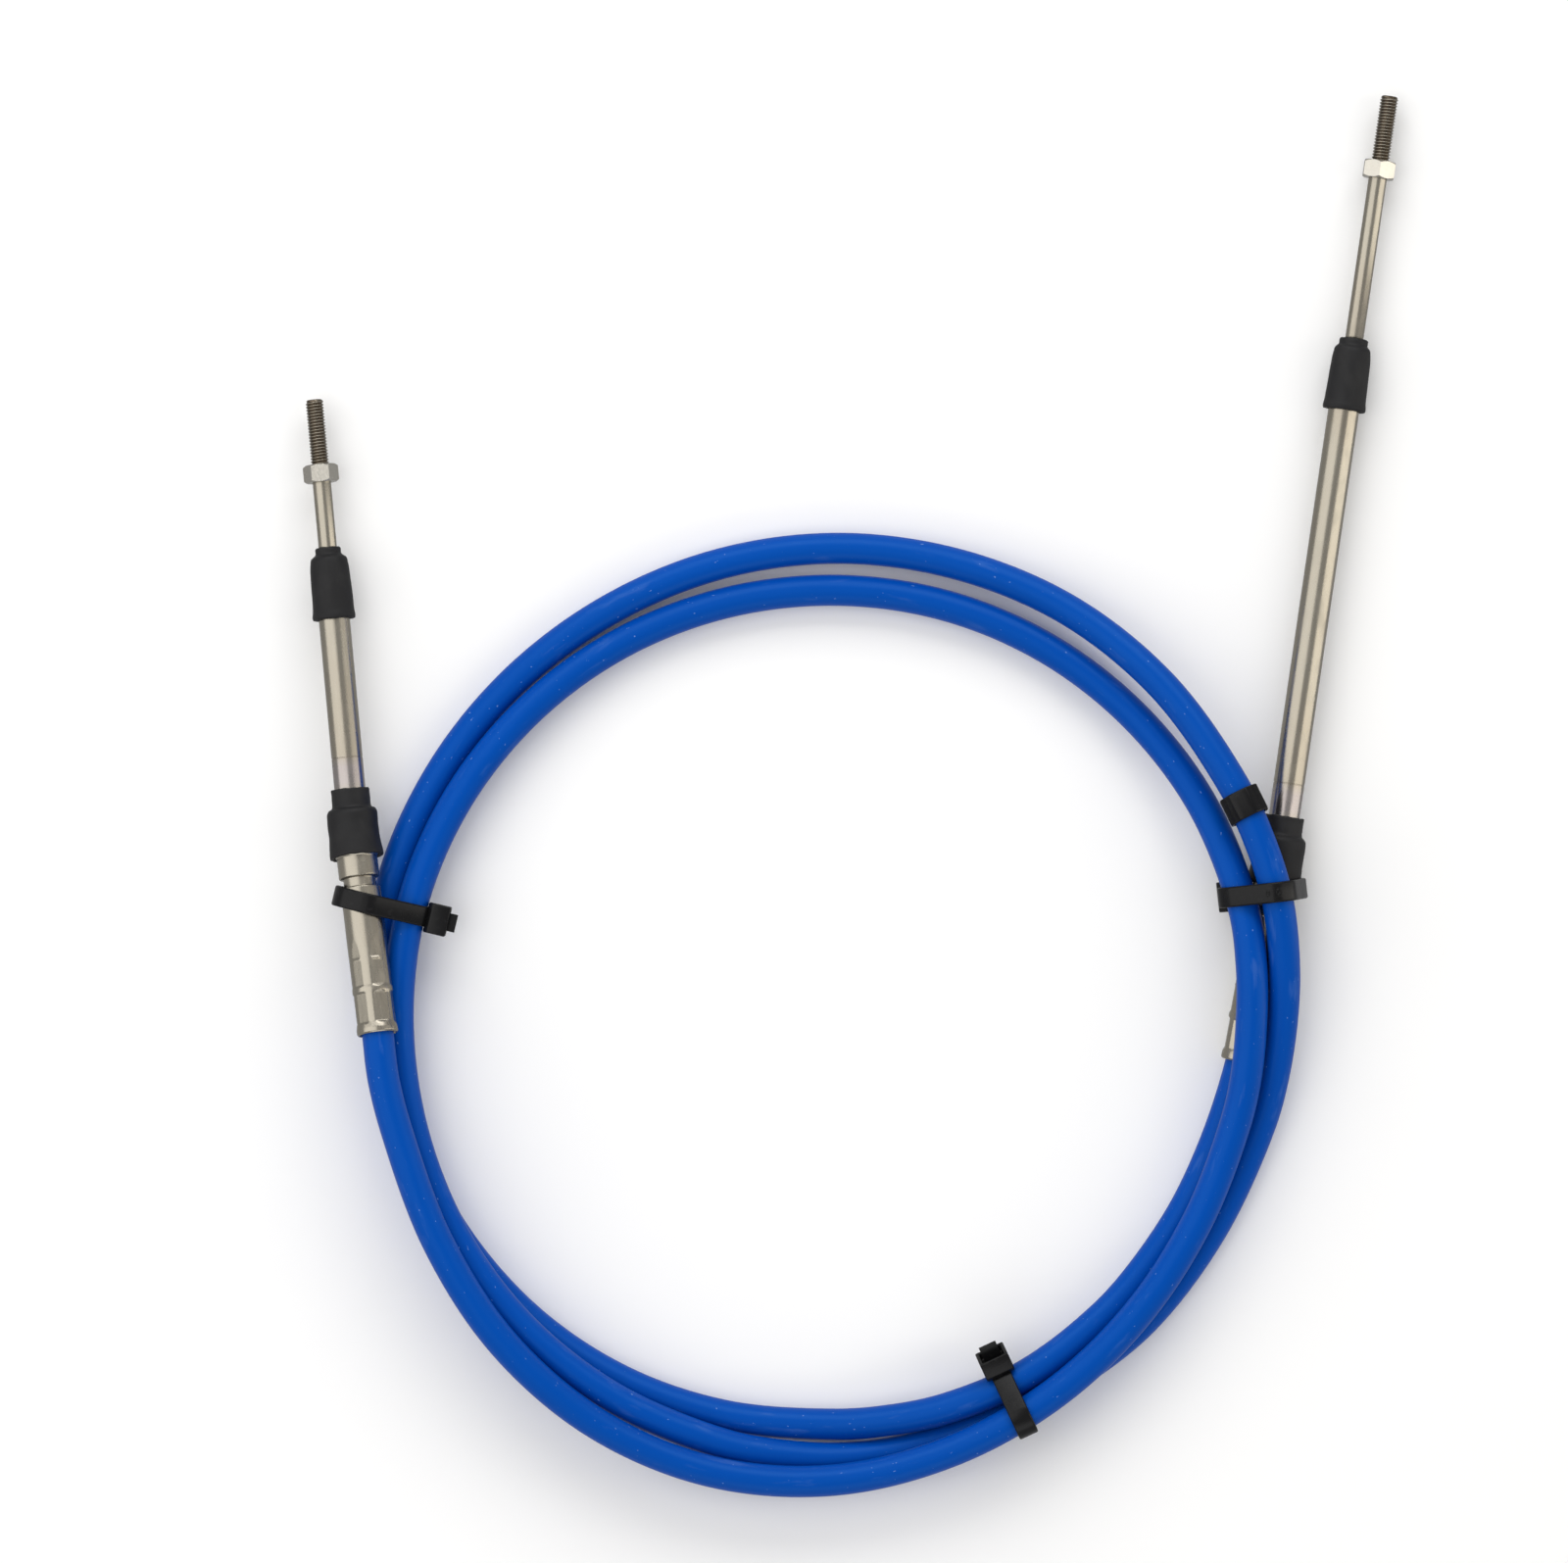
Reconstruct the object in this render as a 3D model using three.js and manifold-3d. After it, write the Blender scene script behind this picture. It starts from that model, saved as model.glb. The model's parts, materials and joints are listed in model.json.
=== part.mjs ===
// A coiled push-pull control cable with a swivelling, sliding rod end on each side.
// Millimetres, +Z up, lying flat: the coil's axis is vertical and the rod ends point towards +Y.

import * as THREE from "three";
import { mergeVertices } from "three/addons/utils/BufferGeometryUtils.js";
import Module from "manifold-3d";

const wasm = await Module();
wasm.setup();

// Clearances between neighbouring solids
const FIT_GAP = 0.3;
const RUN_GAP = 0.35;
const STRAP_SLACK = 0.45;

// Chamfers on turned and moulded edges, and how far a cutting body runs past what it cuts
const FINE_CHAMFER = 0.4;
const EDGE_CHAMFER = 0.5;
const CUT_PAST = 1.0;

// Coil, measured to the middle of its strands, and the cable jacket
const COIL_RADIUS = 142;
const JACKET_R = 5.2;
const JACKET_SIDES = 10;
const JACKET_STEPS = 110;

// Rod with its thread, and the jam nut on it
const ROD_R = 3.0;
const THREAD_R = 2.95;
const THREAD_LENGTH = 26.5;
const ROD_LENGTH = 118.8;
const THREAD_RUNOUT = 0.3;
const TIP_CHAMFER = 0.7;
const NUT_ACROSS_FLATS = 10.0;
const NUT_HEIGHT = 5.8;
const NUT_TO_TIP = 21.4;
const NUT_BEVEL_REACH = 0.3;

// Support tube with its swaged ball
const TUBE_R = 5.1;
const TUBE_BORE_R = ROD_R + RUN_GAP;
const BALL_R = 5.75;

// Rubber wiper boot on the tube's outer end
const WIPER_LENGTH = 23.8;
const WIPER_NECK_LENGTH = 3.2;
const WIPER_NECK_R = 4.5;
const WIPER_SHOULDER_R = 6.4;
const WIPER_LIP_R = 7.1;
const WIPER_LIP_LENGTH = 2.0;
const WIPER_NECK_STEP = 0.3;
const WIPER_SHOULDER_ROUND = 1.6;

// Hub: a ball socket, a clamping groove and two hexagonal crimps on the jacket
const SOCKET_R = BALL_R + RUN_GAP;
const SOCKET_WALL = 1.0;
const SOCKET_LENGTH = 4.2;
const SOCKET_DEPTH = 7.0;
const COLLAR_R = 6.65;
const GROOVE_R = 5.3;
const GROOVE_START = 15.8;
const GROOVE_WIDTH = 3.0;
const BARREL_R = 6.55;
const CRIMP_START = 42.8;
const CRIMP_LENGTHS = [9.3, 10.3];
const CRIMP_ACROSS_FLATS = [12.5, 12.1];
const CRIMP_RIDGE = 1.8;
const CRIMP_TAPER = 1.0;
const CRIMP_STEP = 0.1;
const LIP_R = 6.75;
const LIP_LENGTH = 3.2;
const MOUTH_FLARE = 1.0;
const MOUTH_BORE_R = JACKET_R + FIT_GAP;
const CORE_PASSAGE_R = 1.75;

// Rubber boot over the ball joint
const BOOT_R = 8.8;
const BOOT_WAIST_R = 8.4;
const BOOT_BACK = 8.7;
const BOOT_FRONT = 7.4;
const BOOT_NECK_END = 13.9;
const BOOT_NECK_WALL = 1.3;
const BOOT_EDGE_ROUND = 0.9;
const BOOT_RIM_LENGTH = 2.5;
const BOOT_WAIST_START = -1.0;
const BOOT_SHOULDER_LENGTH = 2.2;
const BOOT_SHOULDER_ROUND = 1.6;
const BOOT_NECK_CHAMFER = 0.6;
const BOOT_CHAMBER_CHAMFER = 1.0;

// Cable ties and the band clip
const STRAP_WIDTH = 6.4;
const STRAP_THICKNESS = 1.2;
const HEAD_WIDTH = 9.9;
const HEAD_LENGTH = 9.5;
const HEAD_DEPTH = 7.4;
const TAIL_LENGTH = 2.6;
const TAIL_WIDTH = 5.8;
const CLIP_LENGTH = 9.0;
const CLIP_WALL = 1.0;
const CLIP_TURN = 747;

// Ends: ball centre measured from the coil's axis, headings as bearings from +Y (positive towards +X)
// and slopes as rise per length, both looking from the ball towards the rod's tip.
const ENDS = {
  a: {
    ball: [-COIL_RADIUS - 14.3, 59.8, 15.4],
    hubBearing: -7.2,
    hubSlope: -0.166,
    tubeBearing: -5.4,
    tubeSlope: -0.055,
    wiperTop: 93.2,
    rodTip: 141.8,
  },
  b: {
    ball: [COIL_RADIUS + 3.4, 50.9, 10.3],
    hubBearing: 10.2,
    hubSlope: 0.035,
    tubeBearing: 8.4,
    tubeSlope: -0.017,
    wiperTop: 171.8,
    rodTip: 252,
  },
};

// The cable's route between its two hubs, around the coil's axis: running angle in degrees
// (0 at +X, counter-clockwise seen from above), how far the jacket's centre lies outside the
// coil's radius, and its height.
const ROUTE = [
  [188, 5.6, 27.2], [195, 4.7, 27.2], [210, 6.2, 26.0], [225, 9.4, 23.6],
  [240, 11.8, 20.2], [255, 12.1, 17.9], [270, 9.8, 16.6], [285, 5.5, 16.9],
  [300, 1.0, 18.3], [315, -2.8, 17.5], [330, -5.4, 16.5], [345, -6.2, 18.2],
  [352, -6.0, 19.8], [360, -5.7, 20.9], [367, -4.8, 20.8], [375, -3.8, 18.4],
  [390, -3.3, 12.0], [405, -3.4, 7.5], [420, -3.4, 5.6], [435, -3.4, 5.2],
  [450, -3.4, 5.2], [465, -3.0, 5.2], [480, -2.3, 6.2], [495, -1.5, 8.8],
  [510, -0.7, 11.6], [525, -0.1, 14.0], [540, -0.1, 15.1], [555, 0.2, 15.7],
  [570, 1.0, 16.0], [585, 1.8, 15.7], [600, 2.2, 14.7], [615, 2.8, 12.1],
  [622, 3.1, 9.8], [630, 3.3, 7.3], [637, 2.8, 5.7], [645, 1.4, 5.8],
  [655, 0.2, 7.1], [662, 0.0, 6.9], [675, 0.8, 5.4], [690, 0.7, 5.2],
  [705, 2.3, 6.8], [712, 3.4, 10.7], [720, 4.7, 15.5], [727, 6.0, 20.1],
  [735, 7.4, 24.0], [742, 7.8, 24.7], [750, 8.2, 22.7], [765, 9.8, 15.9],
  [780, 10.8, 9.4], [795, 10.6, 6.2], [810, 10.3, 5.2], [825, 9.7, 5.2],
  [840, 9.0, 5.2], [855, 8.7, 5.2], [870, 8.6, 6.0], [885, 8.4, 7.1],
  [900, 5.8, 6.0], [915, 3.6, 5.2], [930, 1.2, 5.2], [945, -1.0, 5.2],
  [960, -3.4, 5.2], [975, -5.8, 5.2], [990, -7.7, 6.2], [997, -7.9, 8.5],
  [1005, -8.0, 11.4], [1015, -8.4, 13.6], [1022, -8.9, 12.8], [1030, -9.6, 10.7],
  [1037, -10.0, 8.5], [1050, -10.5, 6.0], [1062, -10.0, 5.7],
];

// Ties: a point of the strap's middle plane, measured from the coil's axis, and the bearing in
// degrees (0 at +X) that the plane faces along; the running angles of the strands and the ends that
// the strap holds; where the head sits, as the angle in the plane that its back faces, the held
// pieces it lies over, and its shift along the band; and the length of the cut tail.
const TIES = [
  {
    at: polar(166.5, COIL_RADIUS + 8.3, 0), facing: 166.5, strands: [886.5, 526.5], ends: ["a"],
    head: { faces: 180, over: [1], shift: 0 }, tail: TAIL_LENGTH,
  },
  {
    at: polar(295, COIL_RADIUS - 2, 0), facing: 295, strands: [295, 655, 1015], ends: [],
    head: { faces: 157, over: [2], shift: 0 }, tail: TAIL_LENGTH + 0.8,
  },
  {
    at: new THREE.Vector3(COIL_RADIUS - 2.8, 39.5, 0), facing: 6.4, strands: [376, 736], ends: ["b"],
    head: { faces: 229, over: [0, 2], shift: -1.2 }, tail: 0.8,
  },
];

const FACETS = 24;
const CURVE_SAMPLES = 4000;
const HUB_SAMPLES = 100;
const STRAND_WINDOW = 12;
const UP = new THREE.Vector3(0, 0, 1);
const ALONG = new THREE.Vector3(0, 1, 0);

const steel = new THREE.MeshStandardMaterial({ color: 0xb9b4ab, roughness: 0.3, metalness: 1 });
const zinc = new THREE.MeshStandardMaterial({ color: 0xcfcabd, roughness: 0.35, metalness: 1 });
const rubber = new THREE.MeshStandardMaterial({ color: 0x17171a, roughness: 0.75, metalness: 0 });
const nylon = new THREE.MeshStandardMaterial({ color: 0x101012, roughness: 0.45, metalness: 0 });
const jacketPlastic = new THREE.MeshStandardMaterial({ color: 0x0052b4, roughness: 0.4, metalness: 0 });

function solid(geometry) {
  const bare = geometry.index ? geometry.toNonIndexed() : geometry.clone();
  bare.deleteAttribute("normal");
  bare.deleteAttribute("uv");
  const merged = mergeVertices(bare, 1e-3);
  const mesh = new wasm.Mesh({
    numProp: 3,
    vertProperties: merged.attributes.position.array,
    triVerts: new Uint32Array(merged.index.array),
  });
  return new wasm.Manifold(mesh);
}

function geometryOf(manifold) {
  const { vertProperties, triVerts } = manifold.getMesh();
  const geometry = new THREE.BufferGeometry();
  geometry.setAttribute("position", new THREE.BufferAttribute(vertProperties, 3));
  geometry.setIndex(new THREE.BufferAttribute(triVerts, 1));
  return geometry;
}

// A turned solid about +Y; the outline is a closed list of [radius, y] that runs counter-clockwise.
function turned(outline) {
  const points = [...outline, outline[0]].map(([r, y]) => new THREE.Vector2(r, y));
  return new THREE.LatheGeometry(points, FACETS);
}

// Points of an arc around [r, y], between two angles in degrees measured from the radial direction.
function arc(r, y, radius, from, to, steps) {
  return Array.from({ length: steps + 1 }, (_, i) => {
    const angle = THREE.MathUtils.degToRad(from + ((to - from) * i) / steps);
    return [r + radius * Math.cos(angle), y + radius * Math.sin(angle)];
  });
}

// A hexagonal prism about +Y, with a corner turned up.
function hexPrism(acrossFlats, y0, y1) {
  const cornerR = acrossFlats / Math.sqrt(3);
  return new THREE.CylinderGeometry(cornerR, cornerR, y1 - y0, 6).translate(0, (y0 + y1) / 2, 0);
}

function heading(bearing, slope) {
  const turn = THREE.MathUtils.degToRad(bearing);
  return new THREE.Vector3(Math.sin(turn), Math.cos(turn), slope).normalize();
}

function place(object, end, direction) {
  object.position.set(...end.ball);
  object.quaternion.setFromUnitVectors(ALONG, direction);
  return object;
}

// Turns a shape drawn along one heading from the ball so that it lies along another.
function turnBetween(from, to) {
  const back = new THREE.Quaternion().setFromUnitVectors(ALONG, from).invert();
  const there = new THREE.Quaternion().setFromUnitVectors(ALONG, to);
  return new THREE.Matrix4().makeRotationFromQuaternion(back.multiply(there));
}

function part(name, geometry, material) {
  const mesh = new THREE.Mesh(geometry, material);
  mesh.name = name;
  return mesh;
}

const MOUTH = CRIMP_START + CRIMP_LENGTHS[0] + CRIMP_RIDGE + CRIMP_LENGTHS[1] + LIP_LENGTH;

function hubGeometry() {
  const socketOuter = SOCKET_R + SOCKET_WALL;
  const grooveEnd = GROOVE_START + GROOVE_WIDTH;
  const shoulder = BOOT_BACK - FIT_GAP;
  const ridgeStart = CRIMP_START + CRIMP_LENGTHS[0];
  const secondStart = ridgeStart + CRIMP_RIDGE;
  const lipStart = MOUTH - LIP_LENGTH;
  const body = turned([
    [socketOuter, SOCKET_LENGTH],
    [SOCKET_R, SOCKET_LENGTH],
    [SOCKET_R, -SOCKET_DEPTH],
    [CORE_PASSAGE_R, -SOCKET_DEPTH],
    [CORE_PASSAGE_R, -CRIMP_START],
    [MOUTH_BORE_R, -CRIMP_START],
    [MOUTH_BORE_R, -(MOUTH - MOUTH_FLARE)],
    [MOUTH_BORE_R + MOUTH_FLARE / 2, -MOUTH],
    [LIP_R - FINE_CHAMFER, -MOUTH],
    [LIP_R, -(MOUTH - EDGE_CHAMFER)],
    [LIP_R, -(lipStart + CRIMP_TAPER)],
    [BARREL_R - CRIMP_STEP, -lipStart],
    [BARREL_R - CRIMP_STEP, -CRIMP_START],
    [BARREL_R, -(CRIMP_START - CRIMP_TAPER)],
    [BARREL_R, -(grooveEnd + FINE_CHAMFER)],
    [BARREL_R - FINE_CHAMFER, -grooveEnd],
    [GROOVE_R, -grooveEnd],
    [GROOVE_R, -GROOVE_START],
    [COLLAR_R - FINE_CHAMFER, -GROOVE_START],
    [COLLAR_R, -(GROOVE_START - FINE_CHAMFER)],
    [COLLAR_R, -(shoulder + EDGE_CHAMFER)],
    [socketOuter, -shoulder],
  ]);
  let hub = solid(body);
  [[CRIMP_START, ridgeStart], [secondStart, lipStart]].forEach(([start, end], i) => {
    const ring = solid(turned([
      [BOOT_R, -end],
      [BOOT_R, -start],
      [GROOVE_R, -start],
      [GROOVE_R, -end],
    ]));
    const kept = solid(hexPrism(CRIMP_ACROSS_FLATS[i], -end - CUT_PAST, -start + CUT_PAST));
    hub = hub.subtract(ring.subtract(kept));
  });
  return geometryOf(hub);
}

function tubeGeometry(length) {
  const seat = THREE.MathUtils.radToDeg(Math.asin(Math.sqrt(1 - (TUBE_R / BALL_R) ** 2)));
  const foot = -THREE.MathUtils.radToDeg(Math.acos(TUBE_BORE_R / BALL_R));
  return turned([
    [TUBE_BORE_R, length],
    ...arc(0, 0, BALL_R, foot, seat, 10),
    [TUBE_R, length - EDGE_CHAMFER],
    [TUBE_R - EDGE_CHAMFER, length],
  ]);
}

function lowerBootGeometry(hubDirection, tubeDirection) {
  const innerR = SOCKET_R + SOCKET_WALL + FIT_GAP;
  const neckInnerR = TUBE_R + FIT_GAP;
  const neckR = neckInnerR + BOOT_NECK_WALL;
  const wall = BOOT_R - innerR;
  const round = BOOT_SHOULDER_ROUND;
  const toTube = turnBetween(hubDirection, tubeDirection);
  const skin = turned([
    [0, -BOOT_BACK],
    [BOOT_R - BOOT_EDGE_ROUND, -BOOT_BACK],
    [BOOT_R, -BOOT_BACK + BOOT_EDGE_ROUND],
    [BOOT_R, -BOOT_BACK + BOOT_RIM_LENGTH],
    [BOOT_WAIST_R, BOOT_WAIST_START],
    [BOOT_WAIST_R, BOOT_FRONT - BOOT_SHOULDER_LENGTH],
    ...arc(BOOT_WAIST_R - round, BOOT_FRONT - round, round, 20, 90, 3),
    [0, BOOT_FRONT],
  ]);
  const neck = turned([
    [0, 0],
    [neckR, 0],
    [neckR, BOOT_NECK_END - BOOT_NECK_CHAMFER],
    [neckR - BOOT_NECK_CHAMFER, BOOT_NECK_END],
    [0, BOOT_NECK_END],
  ]).applyMatrix4(toTube);
  const chamber = turned([
    [0, -BOOT_BACK - CUT_PAST],
    [innerR, -BOOT_BACK - CUT_PAST],
    [innerR, BOOT_FRONT - wall - BOOT_CHAMBER_CHAMFER],
    [innerR - BOOT_CHAMBER_CHAMFER, BOOT_FRONT - wall],
    [0, BOOT_FRONT - wall],
  ]);
  const throat = turned([
    [0, 0],
    [neckInnerR, 0],
    [neckInnerR, BOOT_NECK_END + CUT_PAST],
    [0, BOOT_NECK_END + CUT_PAST],
  ]).applyMatrix4(toTube);
  return geometryOf(solid(skin).add(solid(neck)).subtract(solid(chamber)).subtract(solid(throat)));
}

function wiperGeometry(top) {
  const bottom = top - WIPER_LENGTH;
  const shoulder = top - WIPER_NECK_LENGTH;
  const round = WIPER_SHOULDER_ROUND;
  const seat = shoulder - round;
  return turned([
    [TUBE_R + FIT_GAP, bottom],
    [WIPER_LIP_R - FINE_CHAMFER, bottom],
    [WIPER_LIP_R, bottom + EDGE_CHAMFER],
    [WIPER_LIP_R, bottom + WIPER_LIP_LENGTH],
    ...arc(WIPER_SHOULDER_R - round, shoulder - round, round, 0, 80, 4),
    [WIPER_NECK_R, shoulder + WIPER_NECK_STEP],
    [WIPER_NECK_R, top - FINE_CHAMFER],
    [WIPER_NECK_R - FINE_CHAMFER, top],
    [ROD_R + RUN_GAP, top],
    [ROD_R + RUN_GAP, seat],
    [TUBE_R + FIT_GAP, seat],
  ]);
}

function rodGeometry(tip) {
  const threadStart = tip - THREAD_LENGTH;
  return turned([
    [0, tip - ROD_LENGTH],
    [ROD_R, tip - ROD_LENGTH],
    [ROD_R, threadStart],
    [THREAD_R, threadStart + THREAD_RUNOUT],
    [THREAD_R, tip - TIP_CHAMFER],
    [THREAD_R - TIP_CHAMFER, tip],
    [0, tip],
  ]);
}

function nutGeometry(tip) {
  const outer = tip - NUT_TO_TIP;
  const inner = outer - NUT_HEIGHT;
  const cornerR = NUT_ACROSS_FLATS / Math.sqrt(3);
  const chamfer = cornerR - NUT_ACROSS_FLATS / 2;
  const bevelR = cornerR + NUT_BEVEL_REACH;
  const bevelled = solid(turned([
    [THREAD_R + RUN_GAP, inner],
    [cornerR - chamfer, inner],
    [bevelR, inner + chamfer],
    [bevelR, outer - chamfer],
    [cornerR - chamfer, outer],
    [THREAD_R + RUN_GAP, outer],
  ]));
  const hexagon = solid(hexPrism(NUT_ACROSS_FLATS, inner - CUT_PAST, outer + CUT_PAST));
  return geometryOf(bevelled.intersect(hexagon));
}

function polar(angle, radius, height) {
  const turn = THREE.MathUtils.degToRad(angle);
  return new THREE.Vector3(radius * Math.cos(turn), radius * Math.sin(turn), height);
}

// A point on a hub's own axis, at a distance behind its ball.
function behind(end, distance) {
  const direction = heading(end.hubBearing, end.hubSlope);
  return new THREE.Vector3(...end.ball).addScaledVector(direction, -distance);
}

function jacketCurve() {
  const seat = CRIMP_START + FIT_GAP;
  const middle = (seat + MOUTH) / 2;
  return new THREE.CatmullRomCurve3([
    behind(ENDS.a, seat),
    behind(ENDS.a, middle),
    behind(ENDS.a, MOUTH),
    ...ROUTE.map(([angle, outside, height]) => polar(angle, COIL_RADIUS + outside, height)),
    behind(ENDS.b, MOUTH),
    behind(ENDS.b, middle),
    behind(ENDS.b, seat),
  ]);
}

function jacketGeometry(curve) {
  const section = new THREE.Shape(
    Array.from({ length: JACKET_SIDES }, (_, i) => {
      const angle = (2 * Math.PI * i) / JACKET_SIDES;
      return new THREE.Vector2(JACKET_R * Math.cos(angle), JACKET_R * Math.sin(angle));
    }),
  );
  return new THREE.ExtrudeGeometry(section, { steps: JACKET_STEPS, extrudePath: curve });
}

// Where a round piece of the cable passes through a tie's strap: circles in the strap's plane,
// from points [centre, direction, radius] along the piece.
function sections(points, { origin, out, across }) {
  const half = STRAP_WIDTH / 2 + FIT_GAP;
  return points
    .filter(([point]) => Math.abs(point.clone().sub(origin).dot(across)) <= half)
    .flatMap(([point, direction, radius]) => {
      const widening = radius / Math.abs(direction.dot(across)) - radius;
      const reach = point.clone().sub(origin).dot(out);
      return [-widening, widening].map((shift) => [reach + shift, point.z, radius]);
    });
}

function strandPoints(curve, runningAngle) {
  const near = ({ running }) => Math.abs(running - runningAngle) < STRAND_WINDOW;
  return curve.samples.filter(near).map(({ point, tangent }) => [point, tangent, JACKET_R + STRAP_SLACK]);
}

function hubPoints(end) {
  const direction = heading(end.hubBearing, end.hubSlope);
  return Array.from({ length: HUB_SAMPLES }, (_, i) => {
    const distance = (CRIMP_START * i) / HUB_SAMPLES;
    return [behind(end, distance), direction, distance < BOOT_BACK ? BOOT_R : COLLAR_R];
  });
}

// Outline of a band pulled tight around circles [out, up, radius], a set distance outside them.
function bandOutline(circles, offset) {
  return Array.from({ length: 2 * FACETS }, (_, i) => {
    const angle = (Math.PI * i) / FACETS;
    const [c, s] = [Math.cos(angle), Math.sin(angle)];
    const reach = ([out, up, radius]) => out * c + up * s + radius;
    const [out, up, radius] = circles.reduce((best, one) => (reach(one) > reach(best) ? one : best));
    return new THREE.Vector2(out + (radius + offset) * c, up + (radius + offset) * s);
  });
}

function mean(values) {
  return values.reduce((sum, value) => sum + value, 0) / values.length;
}

// A tie: a strap pulled around what it holds, a ratchet head on the band and a cut tail.
function tieGeometry(tie, curve) {
  const turn = THREE.MathUtils.degToRad(tie.facing);
  const out = new THREE.Vector3(Math.cos(turn), Math.sin(turn), 0);
  const plane = { origin: tie.at, out, across: out.clone().cross(UP) };
  const held = [
    ...tie.strands.map((angle) => sections(strandPoints(curve, angle), plane)),
    ...tie.ends.map((letter) => sections(hubPoints(ENDS[letter]), plane)),
  ];
  const circles = held.flat();
  const filled = (offset, depth) => {
    const block = new THREE.ExtrudeGeometry(new THREE.Shape(bandOutline(circles, offset)), {
      depth,
      bevelEnabled: false,
    });
    return solid(block.translate(0, 0, -depth / 2));
  };
  const inside = filled(FIT_GAP, 2 * HEAD_WIDTH);
  const strap = filled(FIT_GAP + STRAP_THICKNESS, STRAP_WIDTH);
  const faces = THREE.MathUtils.degToRad(tie.head.faces);
  const under = tie.head.over.flatMap((i) => held[i]);
  const seat = mean(under.map(([, , radius]) => radius)) + FIT_GAP;
  const toHead = new THREE.Matrix4()
    .makeTranslation(mean(under.map(([reach]) => reach)), mean(under.map(([, up]) => up)), 0)
    .multiply(new THREE.Matrix4().makeRotationZ(faces));
  const block = new THREE.BoxGeometry(HEAD_DEPTH, HEAD_LENGTH, HEAD_WIDTH)
    .translate(seat + HEAD_DEPTH / 2, tie.head.shift, 0)
    .applyMatrix4(toHead);
  const tail = new THREE.BoxGeometry(HEAD_DEPTH, STRAP_THICKNESS, TAIL_WIDTH)
    .translate(seat + HEAD_DEPTH / 2 + tie.tail, tie.head.shift, 0)
    .applyMatrix4(toHead);
  const whole = strap.add(solid(block)).add(solid(tail)).subtract(inside);
  const toPlace = new THREE.Matrix4().makeBasis(plane.out, UP, plane.across).setPosition(tie.at);
  return geometryOf(whole).applyMatrix4(toPlace);
}

function clipMesh(curve) {
  const bore = JACKET_R + STRAP_SLACK + FIT_GAP;
  const ring = turned([
    [bore, -CLIP_LENGTH / 2],
    [bore + CLIP_WALL, -CLIP_LENGTH / 2],
    [bore + CLIP_WALL, CLIP_LENGTH / 2],
    [bore, CLIP_LENGTH / 2],
  ]);
  const miss = ({ running }) => Math.abs(running - CLIP_TURN);
  const seat = curve.samples.reduce((best, one) => (miss(one) < miss(best) ? one : best));
  const clip = part("band_clip", ring, nylon);
  clip.position.copy(seat.point);
  clip.quaternion.setFromUnitVectors(ALONG, seat.tangent);
  return clip;
}

// Points spread evenly along the curve, each with its tangent and its running angle in degrees.
function sampled(curve) {
  let running = 0;
  let last = 0;
  return Array.from({ length: CURVE_SAMPLES + 1 }, (_, i) => {
    const point = curve.getPointAt(i / CURVE_SAMPLES);
    const angle = THREE.MathUtils.radToDeg(Math.atan2(point.y, point.x));
    const step = THREE.MathUtils.euclideanModulo(angle - last, 360);
    running += step > 180 ? step - 360 : step;
    if (i === 0) running = step;
    last = angle;
    return { point, tangent: curve.getTangentAt(i / CURVE_SAMPLES), running };
  });
}

function endMeshes(letter) {
  const end = ENDS[letter];
  const hubDirection = heading(end.hubBearing, end.hubSlope);
  const tubeDirection = heading(end.tubeBearing, end.tubeSlope);
  const tubeLength = end.wiperTop - WIPER_NECK_LENGTH - WIPER_SHOULDER_ROUND - FIT_GAP;
  const onHub = [
    part(`hub_${letter}`, hubGeometry(), steel),
    part(`lower_boot_${letter}`, lowerBootGeometry(hubDirection, tubeDirection), rubber),
  ];
  const onTube = [
    part(`support_tube_${letter}`, tubeGeometry(tubeLength), steel),
    part(`upper_boot_${letter}`, wiperGeometry(end.wiperTop), rubber),
    part(`rod_${letter}`, rodGeometry(end.rodTip), steel),
    part(`jam_nut_${letter}`, nutGeometry(end.rodTip), zinc),
  ];
  return [
    ...onHub.map((mesh) => place(mesh, end, hubDirection)),
    ...onTube.map((mesh) => place(mesh, end, tubeDirection)),
  ];
}

const curve = jacketCurve();
curve.arcLengthDivisions = CURVE_SAMPLES;
curve.samples = sampled(curve);
const cable = new THREE.Group();
cable.add(part("cable_jacket", jacketGeometry(curve), jacketPlastic));
cable.add(...endMeshes("a"), ...endMeshes("b"));
TIES.forEach((tie, i) => cable.add(part(`cable_tie_${i + 1}`, tieGeometry(tie, curve), nylon)));
cable.add(clipMesh(curve));

// The origin is the middle of the part's underside.
cable.updateMatrixWorld(true);
const box = new THREE.Box3().setFromObject(cable, true);
cable.position.set(-(box.min.x + box.max.x) / 2, -(box.min.y + box.max.y) / 2, -box.min.z);

export default cable;
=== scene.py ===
"""Looks of a coiled push-pull cable, built around its CAD model.

The jacket, the turned and crimped steel ends, the rubber boots, the ties and the band clip are
modelled here in metres, in the CAD model's own frame, and all but the lower boots ride on their CAD
bodies.
"""

import json
import math

import bmesh
import bpy
import numpy as np
from bpy.props import FloatProperty, FloatVectorProperty, PointerProperty
from mathutils import Matrix, Vector, noise


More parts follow.
